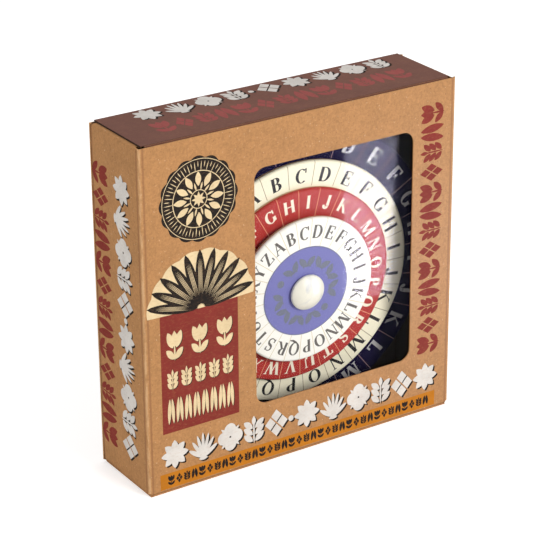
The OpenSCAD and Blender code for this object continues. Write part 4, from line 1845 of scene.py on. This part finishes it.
@dataclass
class FlankPrint:
    """Two upright rows of ornaments on a side of the carton, one maroon and one white.

    Attributes:
        side: which side.
        top, bottom: the rows' ends, from the top of the face.
        maroon_depth, white_depth: the rows' middles from the left edge as seen from outside.
        height: the ornaments' height.
        narrow_count, heavy_count: how many flowers the coloured and the white row have.
        shadow: how far the black shows beside the white.
    """

    side: Side
    top: float = 13.0 * MM
    bottom: float = 120.0 * MM
    maroon_depth: float = 6.2 * MM
    white_depth: float = 20.6 * MM
    height: float = 11.0 * MM
    shadow: float = 0.55 * MM
    narrow_count: int = 13
    heavy_count: int = 10

    def build(self, press: Press) -> None:
        """Prints the side.

        Args:
            press: the side's plane and inks.
        """
        name, length, middle = self.side.value, self.bottom - self.top, (self.top + self.bottom) / 2
        narrow = OrnamentRow(length, self.height, narrow_rhythm(self.narrow_count)).strips()
        heavy = OrnamentRow(length, self.height, heavy_rhythm(self.heavy_count)).strips()
        press.lay(f"{name}_maroon_row", placed(narrow, self.maroon_depth, middle, -90), "maroon", 1)
        press.lay_shadowed(f"{name}_white_row", placed(heavy, self.white_depth, middle, -90),
                           self.shadow, 1)
        log.info("%s side: two rows", name)


@dataclass
class LidPrint:
    """Two rows of ornaments along the lid, a white one at the back and a dull red one.

    Attributes:
        left, right: the rows' ends, from the lid's left edge.
        white_depth, red_depth: the rows' middles, from the lid's back edge.
        height: the ornaments' height.
        narrow_count, heavy_count: how many flowers the coloured and the white row have.
        shadow: how far the black shows beside the white.
    """

    left: float = 14.0 * MM
    right: float = 119.0 * MM
    white_depth: float = 5.9 * MM
    red_depth: float = 19.2 * MM
    height: float = 10.6 * MM
    shadow: float = 0.6 * MM
    narrow_count: int = 13
    heavy_count: int = 9

    def build(self, press: Press) -> None:
        """Prints the lid.

        Args:
            press: the lid's plane and inks.
        """
        length, middle = self.right - self.left, (self.left + self.right) / 2
        heavy = OrnamentRow(length, self.height, heavy_rhythm(self.heavy_count)).strips()
        narrow = OrnamentRow(length, self.height, narrow_rhythm(self.narrow_count)).strips()
        press.lay_shadowed("lid_white_row", placed(heavy, middle, self.white_depth), self.shadow, 1)
        press.lay("lid_red_row", placed(narrow, middle, self.red_depth), "dull_red", 1)
        log.info("lid: two rows")


@dataclass
class Carton:
    """The folded carton: its board, its film and its print."""

    boards: tuple[str, ...] = (
        "bottom_outer_panel", "bottom_inner_panel", "bottom_dust_flap_left",
        "bottom_dust_flap_right", "top_dust_flap_left", "top_dust_flap_right")

    def build(self, palette: Palette) -> None:
        """Dresses the board and the film and prints the faces.

        Args:
            palette: the finishes.
        """
        for node in self.boards:
            dress(node, palette["kraft"])
        for node, finish in (("carton_sleeve", "lined"), ("top_lid", "lid"),
                             ("top_tuck_flap", "tuck"), ("window_film", "film")):
            dress(node, palette[finish])
        low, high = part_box("carton_sleeve")
        faces = CartonFaces(low, Vector((high.x, high.y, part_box("top_lid")[1].z)))
        FrontPrint().build(Press(faces.plane(Side.FRONT), palette))
        for side in (Side.LEFT, Side.RIGHT):
            FlankPrint(side).build(Press(faces.plane(side), palette))
        LidPrint().build(Press(faces.plane(Side.TOP), palette, "lid", "printed_board"))


# -------------------------------------------------------------------- the studio


@dataclass
class PhotoCamera:
    """The photograph's camera.

    Attributes:
        azimuth, elevation, roll: its direction in degrees, as seen from the target.
        target: the point in the middle of the picture.
        distance: distance from there.
        lens, sensor: focal length and sensor width, in millimetres.
        clip: nearest and farthest distance that it shows.
    """

    azimuth: float = -32.905
    elevation: float = 23.734
    roll: float = -0.491
    target: tuple[float, float, float] = (-14.24 * MM, -16.5 * MM, 74.63 * MM)
    distance: float = 774.09 * MM
    lens: float = 149.04
    sensor: float = 36.0
    clip: tuple[float, float] = (0.01, 50.0)

    def axes(self) -> tuple[Vector, Vector, Vector]:
        """The camera's right, up and back directions.

        Returns:
            The three directions.
        """
        a, e, r = (math.radians(v) for v in (self.azimuth, self.elevation, self.roll))
        back = Vector((math.sin(a) * math.cos(e), -math.cos(a) * math.cos(e), math.sin(e)))
        right = Vector((math.cos(a), math.sin(a), 0.0))
        up = back.cross(right)
        return (math.cos(r) * right + math.sin(r) * up,
                -math.sin(r) * right + math.cos(r) * up, back)

    def place(self) -> Vector:
        """The camera's place."""
        return Vector(self.target) + self.distance * self.axes()[2]

    def build(self) -> None:
        """Makes the camera and makes it the scene's own."""
        data = bpy.data.cameras.new("photo_camera")
        data.lens, data.sensor_width = self.lens, self.sensor
        data.clip_start, data.clip_end = self.clip
        camera = bpy.data.objects.new("photo_camera", data)
        right, up, back = self.axes()
        turn = Matrix((right, up, back)).transposed().to_4x4()
        camera.matrix_world = Matrix.Translation(self.place()) @ turn
        bpy.context.scene.collection.objects.link(camera)
        bpy.context.scene.camera = camera


@dataclass
class SoftBox:
    """A rectangular lamp that faces a point; lengths in metres."""

    name: str
    place: Triple
    aim: Triple
    width: float
    height: float
    watts: float
    colour: Colour = (1.0, 1.0, 1.0)

    def build(self) -> bpy.types.Object:
        """Makes the lamp and turns its back to the way from its aim.

        Returns:
            The lamp, in the scene.
        """
        data = bpy.data.lights.new(self.name, "AREA")
        data.shape, data.size, data.size_y = "RECTANGLE", self.width, self.height
        data.energy, data.color = self.watts, self.colour
        lamp = bpy.data.objects.new(self.name, data)
        away = Vector(self.place) - Vector(self.aim)
        turn = away.to_track_quat("Z", "Y").to_matrix().to_4x4()
        lamp.matrix_world = Matrix.Translation(self.place) @ turn
        bpy.context.scene.collection.objects.link(lamp)
        return lamp


@dataclass
class FilmReflection:
    """A strip lamp that shows only as its reflection in the window film.

    The camera is mirrored in the film. A point of the film, seen from there, leads on to the
    point of the lamp that shows in it, so the lamp is the wanted part of the film scaled
    away from the mirrored camera.

    Attributes:
        left, right, low, high: the part of the film in which the lamp shows.
        ahead: the lamp's distance in front of the film.
        watts, tint: its power and colour.
    """

    left: float = 17.6 * MM
    right: float = 39.5 * MM
    low: float = 53.0 * MM
    high: float = 116.0 * MM
    ahead: float = 48.0 * MM
    watts: float = 0.150
    tint: Colour = (0.86, 0.84, 1.0)

    def build(self, camera: PhotoCamera) -> None:
        """Makes the lamp in front of the film, hidden from all but glossy rays.

        Args:
            camera: the camera that sees its reflection.
        """
        film_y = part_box("window_film")[0].y
        eye = camera.place()
        eye.y = 2 * film_y - eye.y
        scale = 1 + self.ahead / (eye.y - film_y)
        x0, x1 = (eye.x + scale * (v - eye.x) for v in (self.left, self.right))
        z0, z1 = (eye.z + scale * (v - eye.z) for v in (self.low, self.high))
        x, y, z = (x0 + x1) / 2, film_y - self.ahead, (z0 + z1) / 2
        lamp = SoftBox("film_strip_lamp", (x, y, z), (x, y + 1.0, z), x1 - x0, z1 - z0, self.watts,
                       self.tint).build()
        lamp.visible_camera = False
        lamp.visible_diffuse = False
        lamp.visible_transmission = False


@dataclass
class Studio:
    """Camera, lamps, white surroundings and the pale floor.

    Attributes:
        aim: the point that the lamps face.
        warm: colour of the key and side lamps.
        ambient: strength of the surroundings as light.
        floor_half: half the floor's width, in metres.
        floor_tone, floor_glow: the floor's matt tone and its added glow where it is seen.
    """

    aim: Triple = (0.0, 0.0, 0.07)
    warm: Colour = (1.0, 0.985, 0.95)
    ambient: float = 0.38
    floor_half: float = 3.0
    floor_tone: float = 0.8
    floor_glow: float = 0.55

    def lamps(self) -> list[SoftBox]:
        """A key lamp at the front right, a side lamp at the left and a weak lamp above."""
        return [SoftBox("key_lamp", (0.32, -1.28, 0.62), self.aim, 0.5, 0.5, 15.0, self.warm),
                SoftBox("side_lamp", (-1.3, -0.1, 0.35), self.aim, 0.5, 0.5, 5.0, self.warm),
                SoftBox("top_lamp", (0.2, 0.3, 1.2), self.aim, 0.9, 0.9, 3.0)]

    def build(self) -> None:
        """Builds the studio."""
        camera = PhotoCamera()
        camera.build()
        self.world()
        self.floor()
        for lamp in self.lamps():
            lamp.build()
        FilmReflection().build(camera)
        bpy.context.scene.view_settings.view_transform = "Standard"
        log.info("studio: camera, lamps and floor")

    def world(self) -> None:
        """White where the camera, a gloss or a clear surface looks, softer as light."""
        world = bpy.data.worlds.new("white_studio")
        world.use_nodes = True
        desk = NodeDesk(world.node_tree)
        strength = desk.ramp(desk.seen(), 0.0, 1.0, self.ambient, 1.0)
        back = desk.add("ShaderNodeBackground", {"Color": WHITE, "Strength": strength})
        desk.add("ShaderNodeOutputWorld", {"Surface": back.outputs[0]})
        bpy.context.scene.world = world

    def floor(self) -> None:
        """A large pale floor that keeps the object's soft shadow and looks white elsewhere."""
        material, desk = blank_material("Pale floor")
        tone = (self.floor_tone, self.floor_tone, self.floor_tone, 1.0)
        matt = desk.add("ShaderNodeBsdfDiffuse", {"Color": tone})
        strength = desk.times(desk.seen(), self.floor_glow)
        glow = desk.add("ShaderNodeEmission", {"Color": WHITE, "Strength": strength})
        both = desk.add("ShaderNodeAddShader", {0: matt.outputs[0], 1: glow.outputs[0]})
        desk.add("ShaderNodeOutputMaterial", {"Surface": both.outputs[0]})
        size = self.floor_half
        corners = np.array([(-size, -size, 0), (size, -size, 0), (size, size, 0), (-size, size, 0)])
        mesh_object("floor", corners, np.array([(0, 1, 2, 3)]), material)


def main() -> None:
    """Builds the parts in order."""
    logging.basicConfig(level=logging.INFO)
    Studio().build()
    palette = Palette(Effects())
    Carton().build(palette)
    LetterWheel().build(palette)
    bpy.context.view_layer.update()


if __name__ == "__main__":
    main()
